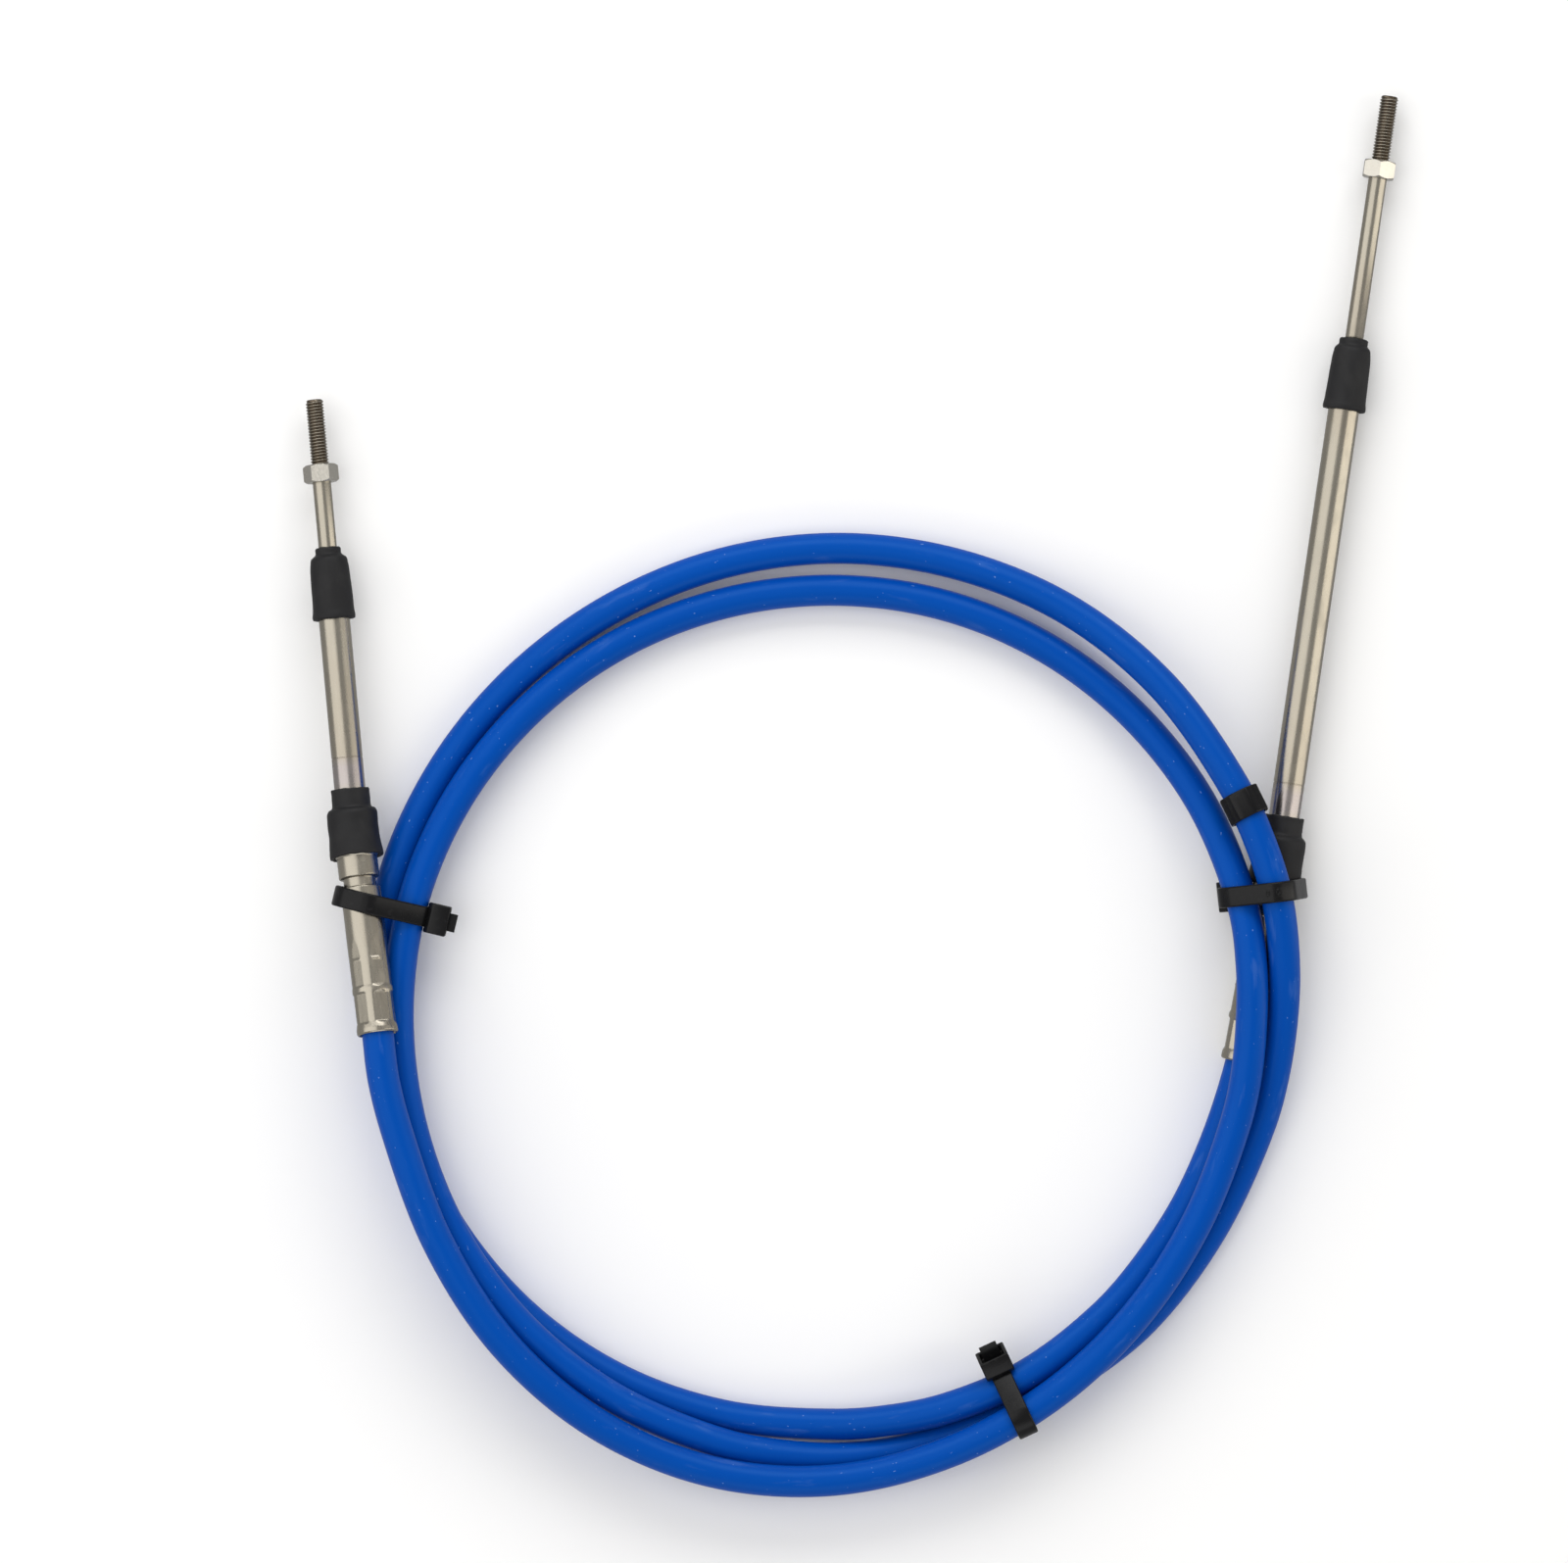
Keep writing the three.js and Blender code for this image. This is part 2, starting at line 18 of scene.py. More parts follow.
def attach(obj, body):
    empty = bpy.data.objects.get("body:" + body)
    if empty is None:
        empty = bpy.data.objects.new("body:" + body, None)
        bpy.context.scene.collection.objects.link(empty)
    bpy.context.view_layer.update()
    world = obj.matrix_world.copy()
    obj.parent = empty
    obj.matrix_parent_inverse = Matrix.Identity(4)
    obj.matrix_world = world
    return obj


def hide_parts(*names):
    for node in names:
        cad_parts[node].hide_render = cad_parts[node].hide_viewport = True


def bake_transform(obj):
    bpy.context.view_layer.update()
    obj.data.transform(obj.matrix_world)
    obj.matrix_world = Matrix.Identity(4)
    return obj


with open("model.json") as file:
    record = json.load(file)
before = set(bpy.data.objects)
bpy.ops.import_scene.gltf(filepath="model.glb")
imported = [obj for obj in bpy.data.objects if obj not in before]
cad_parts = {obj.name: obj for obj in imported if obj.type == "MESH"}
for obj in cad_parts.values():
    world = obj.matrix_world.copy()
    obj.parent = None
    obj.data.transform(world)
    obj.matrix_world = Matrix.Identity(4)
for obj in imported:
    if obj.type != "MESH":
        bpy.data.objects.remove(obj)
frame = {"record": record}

bl_info = {
    "name": "Coiled control cable",
    "version": (1, 0, 0),
    "blender": (4, 5, 0),
    "location": "View3D > Sidebar > Control cable",
    "description": "Builds the jacket, steel ends, rubber boots, ties and stage of a coiled cable",
    "category": "Object",
}

MM = 0.001
TURN = math.tau
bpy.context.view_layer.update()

# Colours come from the CAD record, so the looks and the CAD model agree
SLOT_COLOURS = {entry["slot"]: entry["base_color"] for entry in frame["record"]["materials"]}

JACKET_BLUE = tuple(c * f for c, f in zip(SLOT_COLOURS["jacket"], (0.02, 0.76, 0.84)))
WARM_STEEL = tuple(c * f for c, f in zip(SLOT_COLOURS["steel"], (0.69, 0.67, 0.61)))

# Each end: ball centre from the coil's axis, bearings in degrees from +Y and slopes of the hub and
# of the support tube, distances from the ball to the wiper boot's top, the rod's tip and the
# tube's scribed ring, the neck radii of the wiper boot and of the lower boot, and the turns of the
# crimps and of the nut
ENDS = {
    "a": {
        "ball": (-156.3, 59.8, 15.4), "hub": (-7.2, -0.166), "tube": (-5.4, -0.055),
        "wiper_top": 93.2, "tip": 141.8, "ring": 24.0, "wiper_neck": 4.15, "neck": 6.35,
        "crimp_turn": 8.0, "nut_turn": 0.0,
    },
    "b": {
        "ball": (145.4, 50.9, 10.3), "hub": (10.2, 0.035), "tube": (8.4, -0.017),
        "wiper_top": 171.8, "tip": 252.0, "ring": 24.6, "wiper_neck": 4.7, "neck": 6.65,
        "crimp_turn": 0.0, "nut_turn": 30.0,
    },
}

# The jacket's route between its hubs: running angle in degrees around the coil's axis,
# radius and height of its centre in millimetres
ROUTE = (
    (188, 147.6, 27.2), (195, 146.7, 27.2), (210, 148.2, 26.0), (225, 151.4, 23.6),
    (240, 153.8, 20.2), (255, 154.1, 17.9), (270, 151.8, 16.6), (285, 147.5, 16.9),
    (300, 143.0, 18.3), (315, 139.2, 17.5), (330, 136.6, 16.5), (345, 135.8, 18.2),
    (352, 136.0, 19.8), (360, 136.3, 20.9), (367, 137.2, 20.8), (375, 138.2, 18.4),
    (390, 138.7, 12.0), (405, 138.6, 7.5), (420, 138.6, 5.6), (435, 138.6, 5.2),
    (450, 138.6, 5.2), (465, 139.0, 5.2), (480, 139.7, 6.2), (495, 140.5, 8.8),
    (510, 141.3, 11.6), (525, 141.9, 14.0), (540, 141.9, 15.1), (555, 142.2, 15.7),
    (570, 143.0, 16.0), (585, 143.8, 15.7), (600, 144.2, 14.7), (615, 144.8, 12.1),
    (622, 145.1, 9.8), (630, 145.3, 7.3), (637, 144.8, 5.7), (645, 143.4, 5.8),
    (655, 142.2, 7.1), (662, 142.0, 6.9), (675, 142.8, 5.4), (690, 142.7, 5.2),
    (705, 144.3, 6.8), (712, 145.4, 10.7), (720, 146.7, 15.5), (727, 148.0, 20.1),
    (735, 149.4, 24.0), (742, 149.8, 24.7), (750, 150.2, 22.7), (765, 151.8, 15.9),
    (780, 152.8, 9.4), (795, 152.6, 6.2), (810, 152.3, 5.2), (825, 151.7, 5.2),
    (840, 151.0, 5.2), (855, 150.7, 5.2), (870, 150.6, 6.0), (885, 150.4, 7.1),
    (900, 147.8, 6.0), (915, 145.6, 5.2), (930, 143.2, 5.2), (945, 141.0, 5.2),
    (960, 138.6, 5.2), (975, 136.2, 5.2), (990, 134.3, 6.2), (997, 134.1, 8.5),
    (1005, 134.0, 11.4), (1015, 133.6, 13.6), (1022, 133.1, 12.8), (1030, 132.4, 10.7),
    (1037, 132.0, 8.5), (1050, 131.5, 6.0), (1062, 132.0, 5.7),
)

# Ties: a point of the strap's plane from the coil's axis in millimetres, the bearing that the plane
# faces, running angles of the strands and the ends it holds, the direction its head's back faces,
# the held pieces under the head, the head's shift along the band, the tail's length and the angles
# of the small dimples on the strap
TIES = {
    "cable_tie_1": {
        "at": (-146.15, 35.09), "facing": 166.5, "strands": (886.5, 526.5), "ends": ("a",),
        "faces": 180, "over": (1,), "shift": 0.0, "tail": 2.6, "pips": (),
    },
    "cable_tie_2": {
        "at": (59.17, -126.88), "facing": 295, "strands": (295, 655, 1015), "ends": (),
        "faces": 157, "over": (2,), "shift": 0.0, "tail": 3.4, "pips": (),
    },
    "cable_tie_3": {
        "at": (139.2, 39.5), "facing": 6.4, "strands": (376, 736), "ends": ("b",),
        "faces": 229, "over": (0, 2), "shift": -1.2, "tail": 0.8, "pips": (112, 84),
    },
}
CLIP_TURN = 747

# Distances behind or ahead of the ball along an end's axis, in millimetres
SOCKET_LENGTH, SOCKET_DEPTH = 4.2, 7.0
GROOVE_START, GROOVE_WIDTH = 15.8, 3.0
CRIMP_START, RIDGE_START, SECOND_START, LIP_START, MOUTH = 42.8, 52.1, 53.9, 64.2, 67.4
PETAL_LENGTH = 7.4
BOOT_BACK, BOOT_FRONT, BOOT_NECK_END = 8.7, 7.4, 13.9
WIPER_LENGTH, WIPER_NECK_LENGTH, WIPER_ROUND = 23.8, 3.2, 1.6
ROD_LENGTH, NUT_TO_TIP, NUT_HEIGHT = 118.8, 21.4, 5.8
FIT_GAP, RUN_GAP, STRAP_SLACK = 0.3, 0.35, 0.12
BOOT_GAP, WIPE_GAP = 0.08, 0.12

# Steps along the cable and along a hub, in millimetres, how many degrees of a strand a strap sees
# and how many points the strap has
JACKET_STEP, STRAND_STEP, HUB_STEP = 2.0, 0.6, 0.4
STRAND_WINDOW, STRAP_POINTS = 12, 144

# Walls and small forms, in millimetres: the hub's socket and core passage, the crimps' soft ends
# and petals, the boots' unevenness and wavy ends, the thread, and the nut's bevels and sides
SOCKET_WALL, CORE_PASSAGE = 1.0, 1.75
CRIMP_END, CRIMP_SWELL, PETAL_RISE, PETAL_CURVE = 0.5, 0.3, 0.36, 1.3
BOOT_SWELL, BOOT_END_WAVE, BOOT_WAVE_SIZE = 0.16, 0.28, 5.0
WIPER_SWELL, WIPER_END_WAVE, WIPER_WAVE_SIZE = 0.12, 0.22, 6.0
TIP_CHAMFER, ROWS_A_TURN, THREAD_RUN_IN = 0.7, 12, 1.5
NUT_BEVEL, NUT_BORE_CHAMFER, NUT_SIDES = 1.1, 0.45, 144

# A tie's ratchet head and cut tail, in millimetres, and the band clip's wall and folds
CHIN_CHAMFER, HEAD_WALL, HEAD_SLOT, HEAD_ROUND = 1.5, 1.55, 2.6, 0.45
TAIL_IN_HEAD, TAIL_TEETH, TOOTH_DEPTH, TAIL_SHARE = 3.0, 12, 0.25, 0.92
CLIP_WALL, CLIP_SLACK, FOLD_RISE, FOLD_SPREAD = 1.1, 0.25, 0.5, 22

# The stage, in metres: half the floor's side, its drop below the cable, the camera's height above
# the coil and the width that it frames; the strength of the light from all around; and the point
# below the camera, from the coil's axis in millimetres
FLOOR_HALF, FLOOR_DROP = 6.0, 0.0002
CAMERA_HEIGHT, FRAMED_WIDTH = 3.0, 0.512
SKY_STRENGTH = 0.42
FRAME_MIDDLE = (-16.0, 76.0, 12.0)


def shade(colour, factor):
    """A colour made lighter or darker by a factor."""
    return tuple(min(1.0, channel * factor) for channel in colour)


def length_property(name, default, description):
    """A length that a user may change, in metres."""
    return FloatProperty(
        name=name, description=description, default=default * MM, min=0.0, soft_max=0.1,
        precision=5, unit="LENGTH", subtype="DISTANCE",
    )


def share_property(name, default, description):
    """A share between nothing and all."""
    return FloatProperty(
        name=name, description=description, default=default, min=0.0, max=1.0, subtype="FACTOR",
    )


def colour_property(name, default, description):
    """A linear colour that a user may change."""
    return FloatVectorProperty(
        name=name, description=description, default=default, min=0.0, max=1.0, size=3,
        subtype="COLOR",
    )


class CableSizes(bpy.types.PropertyGroup):
    """Sizes of the cable's pieces."""

    jacket_radius: length_property("Jacket radius", 5.2, "Outside radius of the plastic jacket")
    barrel_radius: length_property("Barrel radius", 6.55, "Outside radius of the hub's barrel")
    collar_radius: length_property("Collar radius", 6.65, "Radius of the hub's collar above its groove")
    groove_radius: length_property("Groove radius", 5.3, "Radius at the floor of the clamping groove")
    lip_radius: length_property("Lip radius", 6.75, "Radius of the hub's flared mouth")
    crimp_first: length_property("First crimp", 12.5, "Width across the flats of the upper crimp")
    crimp_second: length_property("Second crimp", 12.1, "Width across the flats of the lower crimp")
    ball_radius: length_property("Ball radius", 5.75, "Radius of the support tube's ball")
    tube_radius: length_property("Tube radius", 5.1, "Outside radius of the support tube")
    rod_radius: length_property("Rod radius", 3.0, "Radius of the sliding rod")
    thread_length: length_property("Thread length", 26.5, "Length of the rod's thread")
    thread_pitch: length_property("Thread pitch", 1.0, "Distance between two turns of the thread")
    thread_depth: length_property("Thread depth", 0.5, "Height of the thread's ridges")
    nut_width: length_property("Nut width", 10.0, "Width of the jam nut across its flats")
    boot_radius: length_property("Boot radius", 8.8, "Radius of the lower boot at its rim")
    wiper_radius: length_property("Wiper radius", 7.1, "Radius of the upper boot at its lip")
    strap_width: length_property("Strap width", 6.4, "Width of a tie's strap")
    strap_thickness: length_property("Strap thickness", 1.2, "Thickness of a tie's strap")
    head_width: length_property("Head width", 9.9, "Width of a tie's ratchet head")
    head_length: length_property("Head length", 9.5, "Length of a tie's head along the band")
    head_depth: length_property("Head depth", 7.4, "Depth of a tie's head, the way its tail leaves")
    clip_length: length_property("Clip length", 9.0, "Length of the band clip along the jacket")


class CableFinish(bpy.types.PropertyGroup):
    """Colours and surfaces of the cable's pieces."""

    jacket_colour: colour_property("Jacket", JACKET_BLUE, "Colour of the plastic jacket")
    jacket_roughness: share_property("Jacket roughness", 0.34, "How blurred the jacket's gloss is")
    steel_colour: colour_property("Steel", WARM_STEEL, "Colour of the stainless steel")
    steel_roughness: share_property("Steel roughness", 0.26, "How blurred the steel's reflections are")
    # The tarnish colour is a real brown film, and darkened it is also painted into the thread's roots
    # as painted shade.
    tarnish_and_root_shade_colour: colour_property("Tarnish", (0.33, 0.26, 0.19), "Brown film on threads and edges")
    nut_colour: colour_property("Nut", shade(SLOT_COLOURS["nut_steel"], 0.85), "Colour of the jam nuts")
    rubber_colour: colour_property("Rubber", SLOT_COLOURS["rubber"], "Colour of the rubber boots")
    nylon_colour: colour_property("Nylon", SLOT_COLOURS["nylon"], "Colour of the ties and the clip")
    floor_colour: colour_property("Floor", (0.95, 0.95, 0.95), "Colour of the floor")
    wear: share_property("Wear", 0.5, "How strongly scuffs, dust and tarnish show")


def socket_name(key):
    """The shader's own name of a socket, such as Base Color for base_color."""
    return key.replace("_", " ").title().replace("Ior", "IOR")


class Value:
    """A number or colour socket, so that shader maths reads as a Python expression."""

    def __init__(self, finish, socket):
        self.finish = finish
        self.socket = socket

    def _math(self, operation, first, second):
        return self.finish.node("ShaderNodeMath", {"operation": operation}, {0: first, 1: second})

    def __add__(self, other):
        return self._math("ADD", self, other)

    def __mul__(self, other):
        return self._math("MULTIPLY", self, other)

    def __pow__(self, other):
        return self._math("POWER", self, other)

    __radd__ = __add__
    __rmul__ = __mul__


class Finish:
    """A material being wired up on one Principled shader, with patterns in its piece's own axes."""

    def __init__(self, name, **constants):
        self.material = bpy.data.materials.new(name)
        self.material.use_nodes = True
        self.tree = self.material.node_tree
        self.shader = self.tree.nodes["Principled BSDF"]
        for key, value in constants.items():
            self.shader.inputs[socket_name(key)].default_value = value
        self.place = self.node("ShaderNodeAttribute", {"attribute_name": "local"}, {}, 1)

    def node(self, kind, settings=None, inputs=None, output=0):
        """Adds a node with its settings, and its sockets' values or links."""
        made = self.tree.nodes.new(kind)
        for key, value in (settings or {}).items():
            setattr(made, key, value)
        for key, value in (inputs or {}).items():
            if isinstance(value, Value):
                self.tree.links.new(value.socket, made.inputs[key])
            else:
                made.inputs[key].default_value = value
        return Value(self, made.outputs[output])

    def feed(self, **sockets):
        """Links values to the shader's sockets."""
        for key, value in sockets.items():
            self.tree.links.new(value.socket, self.shader.inputs[socket_name(key)])

    def grain(self, size, stretch=(1, 1, 1), detail=3.0, roughness=0.5):
        """Noise with features of a size in metres, stretched along the piece's own axes."""
        scale = [1 / (size * factor) for factor in stretch]
        at = self.node("ShaderNodeMapping", {}, {"Vector": self.place, "Scale": scale})
        return self.node(
            "ShaderNodeTexNoise", {},
            {"Vector": at, "Scale": 1.0, "Detail": detail, "Roughness": roughness},
        )

    def above(self, value, low, high):
        """A mask that rises from 0 at low to 1 at high."""
        return self.node("ShaderNodeMapRange", {"clamp": True}, {0: value, 1: low, 2: high})

    def mixed(self, factor, first, second):
        """A colour between two colours, or between two values of colour."""
        colours = [c if isinstance(c, Value) else (*c, 1.0) for c in (first, second)]
        return self.node(
            "ShaderNodeMix", {"data_type": "RGBA"}, {0: factor, 6: colours[0], 7: colours[1]}, 2,
        )

    def relief(self, height, distance, strength=1.0):
        """Feeds a height in shares of a distance in metres to the shader's normal."""
        bump = self.node(
            "ShaderNodeBump", {}, {"Height": height, "Distance": distance, "Strength": strength},
        )
        self.feed(normal=bump)

    def axes(self):
        """The three coordinates in the piece's own axes."""
        kind = "ShaderNodeSeparateXYZ"
        return [self.node(kind, {}, {0: self.place}, i) for i in range(3)]


def sizes():
    """The sizes that a user may change."""
    return bpy.context.scene.cable_sizes


def finish():
    """The finishes that a user may change."""
    return bpy.context.scene.cable_finish


def kept(name, build):
    """The material of a name, wired up the first time that a piece asks for it."""
    return bpy.data.materials.get(name) or build(name)


def jacket_plastic(name):
    """Satin plastic with lines drawn along it, scuffs and specks of dust."""
    look = finish()
    made = Finish(name, specular_ior_level=0.22, specular_tint=(0.25, 0.65, 1.0, 1.0))
    broad = made.grain(0.03, (1, 1, 4))
    drawn = made.grain(0.0012, (1, 1, 40))
    scuff = made.above(made.grain(0.0035, (1, 1, 5), 5.0), 0.62, 0.75)
    speck = made.above(made.grain(0.0009, (1, 1, 1.6), 1.0), 0.76, 0.8)
    base = made.mixed(broad, shade(look.jacket_colour, 0.9), shade(look.jacket_colour, 1.12))
    worn = made.mixed(scuff * (0.25 * look.wear), base, (0.16, 0.3, 0.62))
    made.feed(
        base_color=made.mixed(speck * look.wear, worn, (0.25, 0.4, 0.7)),
        roughness=drawn * 0.1 + scuff * 0.12 + (look.jacket_roughness - 0.05),
    )
    made.relief(drawn * 0.5 + scuff * 0.3 + made.grain(0.006, (1, 1, 3)), 0.00004)
    return made.material


def bright_steel(name, base=None, roughness=None, along=60):
    """Stainless steel with fine lines along the piece and a thin warm film."""
    look = finish()
    made = Finish(name, metallic=1.0)
    lines = made.grain(0.0006, (1, along, 1), 4.0, 0.6)
    film = made.grain(0.012, (1, 2.5, 1), 3.0)
    smear = made.grain(0.003, (1, 3, 1), 4.0)
    colour = made.mixed(lines, shade(base or look.steel_colour, 0.86), base or look.steel_colour)
    tint = made.above(film, 0.45, 0.75) * (0.5 * look.wear)
    level = look.steel_roughness if roughness is None else roughness
    rough = lines * 0.08 + made.above(smear, 0.5, 0.8) * (0.2 * look.wear) + (level - 0.04)
    made.feed(roughness=rough)
    made.colour = made.mixed(tint, colour, look.tarnish_and_root_shade_colour)
    made.lines = lines
    return made


def hub_steel(name):
    """The hubs' steel, a little uneven from crimping."""
    made = bright_steel(name, along=8)
    made.feed(base_color=made.colour)
    made.relief(made.lines * 0.2 + made.grain(0.006, (1, 2, 1)), 0.00003)
    return made.material


def tube_steel(name):
    """The tube's steel, with a faint blue-violet heat tint between its scribed ring and the ball."""
    made = bright_steel(name)
    along = made.axes()[1]
    heated = made.above(along, 25.0 * MM, 21.0 * MM) * made.above(along, 10.0 * MM, 16.0 * MM)
    made.feed(base_color=made.mixed(heated * 0.25, made.colour, (0.46, 0.42, 0.56)))
    made.relief(made.lines, 0.000012)
    return made.material


def rod_steel(name):
    """The rod's steel, with a brown film on the thread as a whole and painted shade darkening the
    thread's roots.
    """
    size, look = sizes(), finish()
    made = bright_steel(name)
    across, along, up = made.axes()
    radius = (across * across + up * up) ** 0.5
    start = made.node("ShaderNodeAttribute", {"attribute_name": "thread"}, {}, 2)
    # In the thread's roots the tarnish colour, darkened further, is painted shade; the small share over
    # the whole thread is a real brown film.
    root = made.above(radius, size.rod_radius, size.rod_radius - size.thread_depth)
    thread_film_and_root_shade = start * (root * 0.9 + 0.1)
    made.feed(base_color=made.mixed(thread_film_and_root_shade, made.colour, shade(look.tarnish_and_root_shade_colour, 0.4)))
    made.relief(made.lines, 0.000012)
    return made.material


def nut_steel(name):
    """The nuts' bright plating."""
    look = finish()
    made = bright_steel(name, look.nut_colour, 0.22, 1.5)
    made.feed(base_color=made.colour)
    made.relief(made.lines * 0.4 + made.grain(0.0015), 0.00003)
    return made.material


def boot_rubber(name):
    """Matte rubber with a fine grain and dusty patches."""
    look = finish()
    made = Finish(name, specular_ior_level=0.22)
    dust = made.above(made.grain(0.006, (1, 1.6, 1), 5.0), 0.48, 0.78)
    fine = made.grain(0.0005, detail=2.0)
    base = made.mixed(made.grain(0.01), shade(look.rubber_colour, 0.8), shade(look.rubber_colour, 1.4))
    made.feed(
        base_color=made.mixed(dust * (0.35 * look.wear), base, (0.07, 0.068, 0.065)),
        roughness=dust * 0.14 + fine * 0.08 + 0.5,
    )
    made.relief(fine * 0.35 + made.grain(0.003, (1, 2, 1)) * 0.6, 0.00009)
    return made.material


def tie_nylon(name):
    """Black nylon with soft flow marks and scuffs."""
    look = finish()
    made = Finish(name, specular_ior_level=0.2)
    flow = made.grain(0.004, (1, 1, 3), 3.0)
    fine = made.grain(0.0004, detail=2.0)
    scuff = made.above(made.grain(0.0015, (2, 1, 1), 4.0), 0.58, 0.76)
    base = made.mixed(flow, shade(look.nylon_colour, 0.4), shade(look.nylon_colour, 0.9))
    made.feed(
        base_color=made.mixed(scuff * (0.3 * look.wear), base, (0.05, 0.05, 0.05)),
        roughness=flow * 0.16 + scuff * 0.15 + 0.2,
    )
    made.relief(fine * 0.3 + flow * 0.8, 0.00005)
    return made.material


def heading(bearing, slope):
    """Unit vector for a bearing in degrees from +Y, positive towards +X, and a slope."""
    turn = math.radians(bearing)
    return Vector((math.sin(turn), math.cos(turn), slope)).normalized()


def from_coil(x, y, z=0.0):
    """A point given from the coil's axis in millimetres, in the CAD model's frame."""
    return COIL_CENTRE + Vector((x, y, z)) * MM


def joint_place(name):
    """Where the CAD record has a joint."""
    joints = frame["record"]["behaviour"]["joints"]
    return Vector(next(joint["pos_m"] for joint in joints if joint["name"] == name))


COIL_CENTRE = joint_place("swivel_a") - Vector(ENDS["a"]["ball"]) * MM


def end_axes(letter, which):
    """Matrix that puts +Y, from the ball outwards, along an end's hub or tube."""
    direction = heading(*ENDS[letter][which])
    turn = Vector((0, 1, 0)).rotation_difference(direction).to_matrix().to_4x4()
    return Matrix.Translation(from_coil(*ENDS[letter]["ball"])) @ turn


def behind(letter, distance):
    """A point on a hub's axis, millimetres behind its ball."""
    return end_axes(letter, "hub") @ Vector((0, -distance * MM, 0))


def in_metres(outline):
    """An outline in millimetres, made one in metres."""
    return [(radius * MM, along * MM) for radius, along in outline]


def eased(outline, ease, steps=3, closed=True):
    """An outline with its corners rounded over a distance, by quadratic arcs."""
    count = len(outline)
    smooth = []
    for i, corner in enumerate(outline):
        if not closed and i in (0, count - 1):
            smooth.append(corner)
            continue
        here, before, after = (Vector(outline[j % count]) for j in (i, i - 1, i + 1))
        first, last = (
            here + (other - here).normalized() * min(ease, 0.45 * (other - here).length)
            for other in (before, after)
        )
        for step in range(steps + 1):
            t = step / steps
            smooth.append(tuple(first * (1 - t) ** 2 + here * 2 * t * (1 - t) + last * t * t))
    return smooth


def in_rows(outline, longest, closed=True):
    """An outline whose longer sides are split, so that the turned surface can be shaped."""
    rows = []
    following = outline[1:] + outline[:1] if closed else outline[1:]
    for (r0, y0), (r1, y1) in zip(outline, following):
        parts = max(1, math.ceil(math.hypot(r1 - r0, y1 - y0) / longest))
        rows += [(r0 + (r1 - r0) * i / parts, y0 + (y1 - y0) * i / parts) for i in range(parts)]
    return rows if closed else rows + [outline[-1]]


def turned(outline, steps=96):
    """A turned shape about +Y. An outline that starts on the axis ends on it; others are closed."""
    bm = bmesh.new()
    verts = [bm.verts.new((radius, along, 0)) for radius, along in outline]
    pairs = list(zip(verts, verts[1:]))
    if outline[0][0] > 0:
        pairs.append((verts[-1], verts[0]))
    edges = [bm.edges.new(pair) for pair in pairs]
    bmesh.ops.spin(
        bm, geom=verts + edges, cent=(0, 0, 0), axis=(0, 1, 0), steps=steps, angle=TURN,
        use_merge=True,
    )
    bmesh.ops.remove_doubles(bm, verts=bm.verts[:], dist=1e-7)
    bmesh.ops.recalc_face_normals(bm, faces=bm.faces[:])
    return bm


def moulded(outline, ease, row, sides):
    """A turned shape from an outline in millimetres, its corners eased and its rows short."""
    return turned(in_rows(in_metres(eased(outline, ease)), row * MM), sides)


def reshape(bm, change):
    """Moves each vertex in or out: change takes its radius, its angle and its place along the axis
    and gives the new radius and place."""
    for vert in bm.verts:
        x, along, z = vert.co
        radius = math.hypot(x, z)
        if radius < 1e-9:
            continue
        new_radius, new_along = change(radius, math.atan2(z, x), along)
        factor = new_radius / radius
        vert.co = (x * factor, new_along, z * factor)


def finished(name, bm, matrix, material, crease=40.0):
    """Makes a mesh's object: keeps its own axes as an attribute, then moves it to its place."""
    layer = bm.verts.layers.float_vector.get("local") or bm.verts.layers.float_vector.new("local")
    for vert in bm.verts:
        vert[layer] = vert.co
    bmesh.ops.transform(bm, matrix=matrix, verts=bm.verts[:])
    mesh = bpy.data.meshes.new(name)
    bm.to_mesh(mesh)
    bm.free()
    mesh.shade_smooth()
    mesh.set_sharp_from_angle(angle=math.radians(crease))
    mesh.materials.append(material)
    piece = bpy.data.objects.new(name, mesh)
    bpy.context.scene.collection.objects.link(piece)
    return piece


def dressed(piece, body, slot, *nodes):
    """Lets a piece ride on its CAD body, in place of CAD nodes."""
    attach(piece, body)
    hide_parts(*nodes)
    return piece


def bent_wave(angle, along, size, seed):
    """A soft, repeatable unevenness for rubber, between about -1 and 1."""
    where = Vector((math.cos(angle) * 1.3, along / size, math.sin(angle) * 1.3 + seed))
    return noise.noise(where)


def route_points():
    """The jacket's control points, from one hub's seat to the other's."""
    seat = CRIMP_START + FIT_GAP
    stops = (seat, (seat + MOUTH) / 2, MOUTH)
    coil = [
        from_coil(radius * math.cos(math.radians(turn)), radius * math.sin(math.radians(turn)), height)
        for turn, radius, height in ROUTE
    ]
    start = [behind("a", stop) for stop in stops]
    end = [behind("b", stop) for stop in reversed(stops)]
    return np.array(start + coil + end)


def route_line(points, per_span=24):
    """The centripetal Catmull-Rom curve through points, as many small steps."""
    ends = [2 * points[0] - points[1], *points, 2 * points[-1] - points[-2]]
    line = []
    for p0, p1, p2, p3 in zip(ends, ends[1:], ends[2:], ends[3:]):
        d0, d1, d2 = (np.linalg.norm(b - a) ** 0.5 for a, b in ((p0, p1), (p1, p2), (p2, p3)))
        t1 = ((p1 - p0) / d0 - (p2 - p0) / (d0 + d1) + (p2 - p1) / d1) * d1
        t2 = ((p2 - p1) / d1 - (p3 - p1) / (d1 + d2) + (p3 - p2) / d2) * d1
        for step in range(per_span):
            t = step / per_span
            line.append(
                p1 + t1 * t + (3 * (p2 - p1) - 2 * t1 - t2) * t * t
                + (2 * (p1 - p2) + t1 + t2) * t ** 3
            )
    line.append(points[-1])
    return np.array(line)


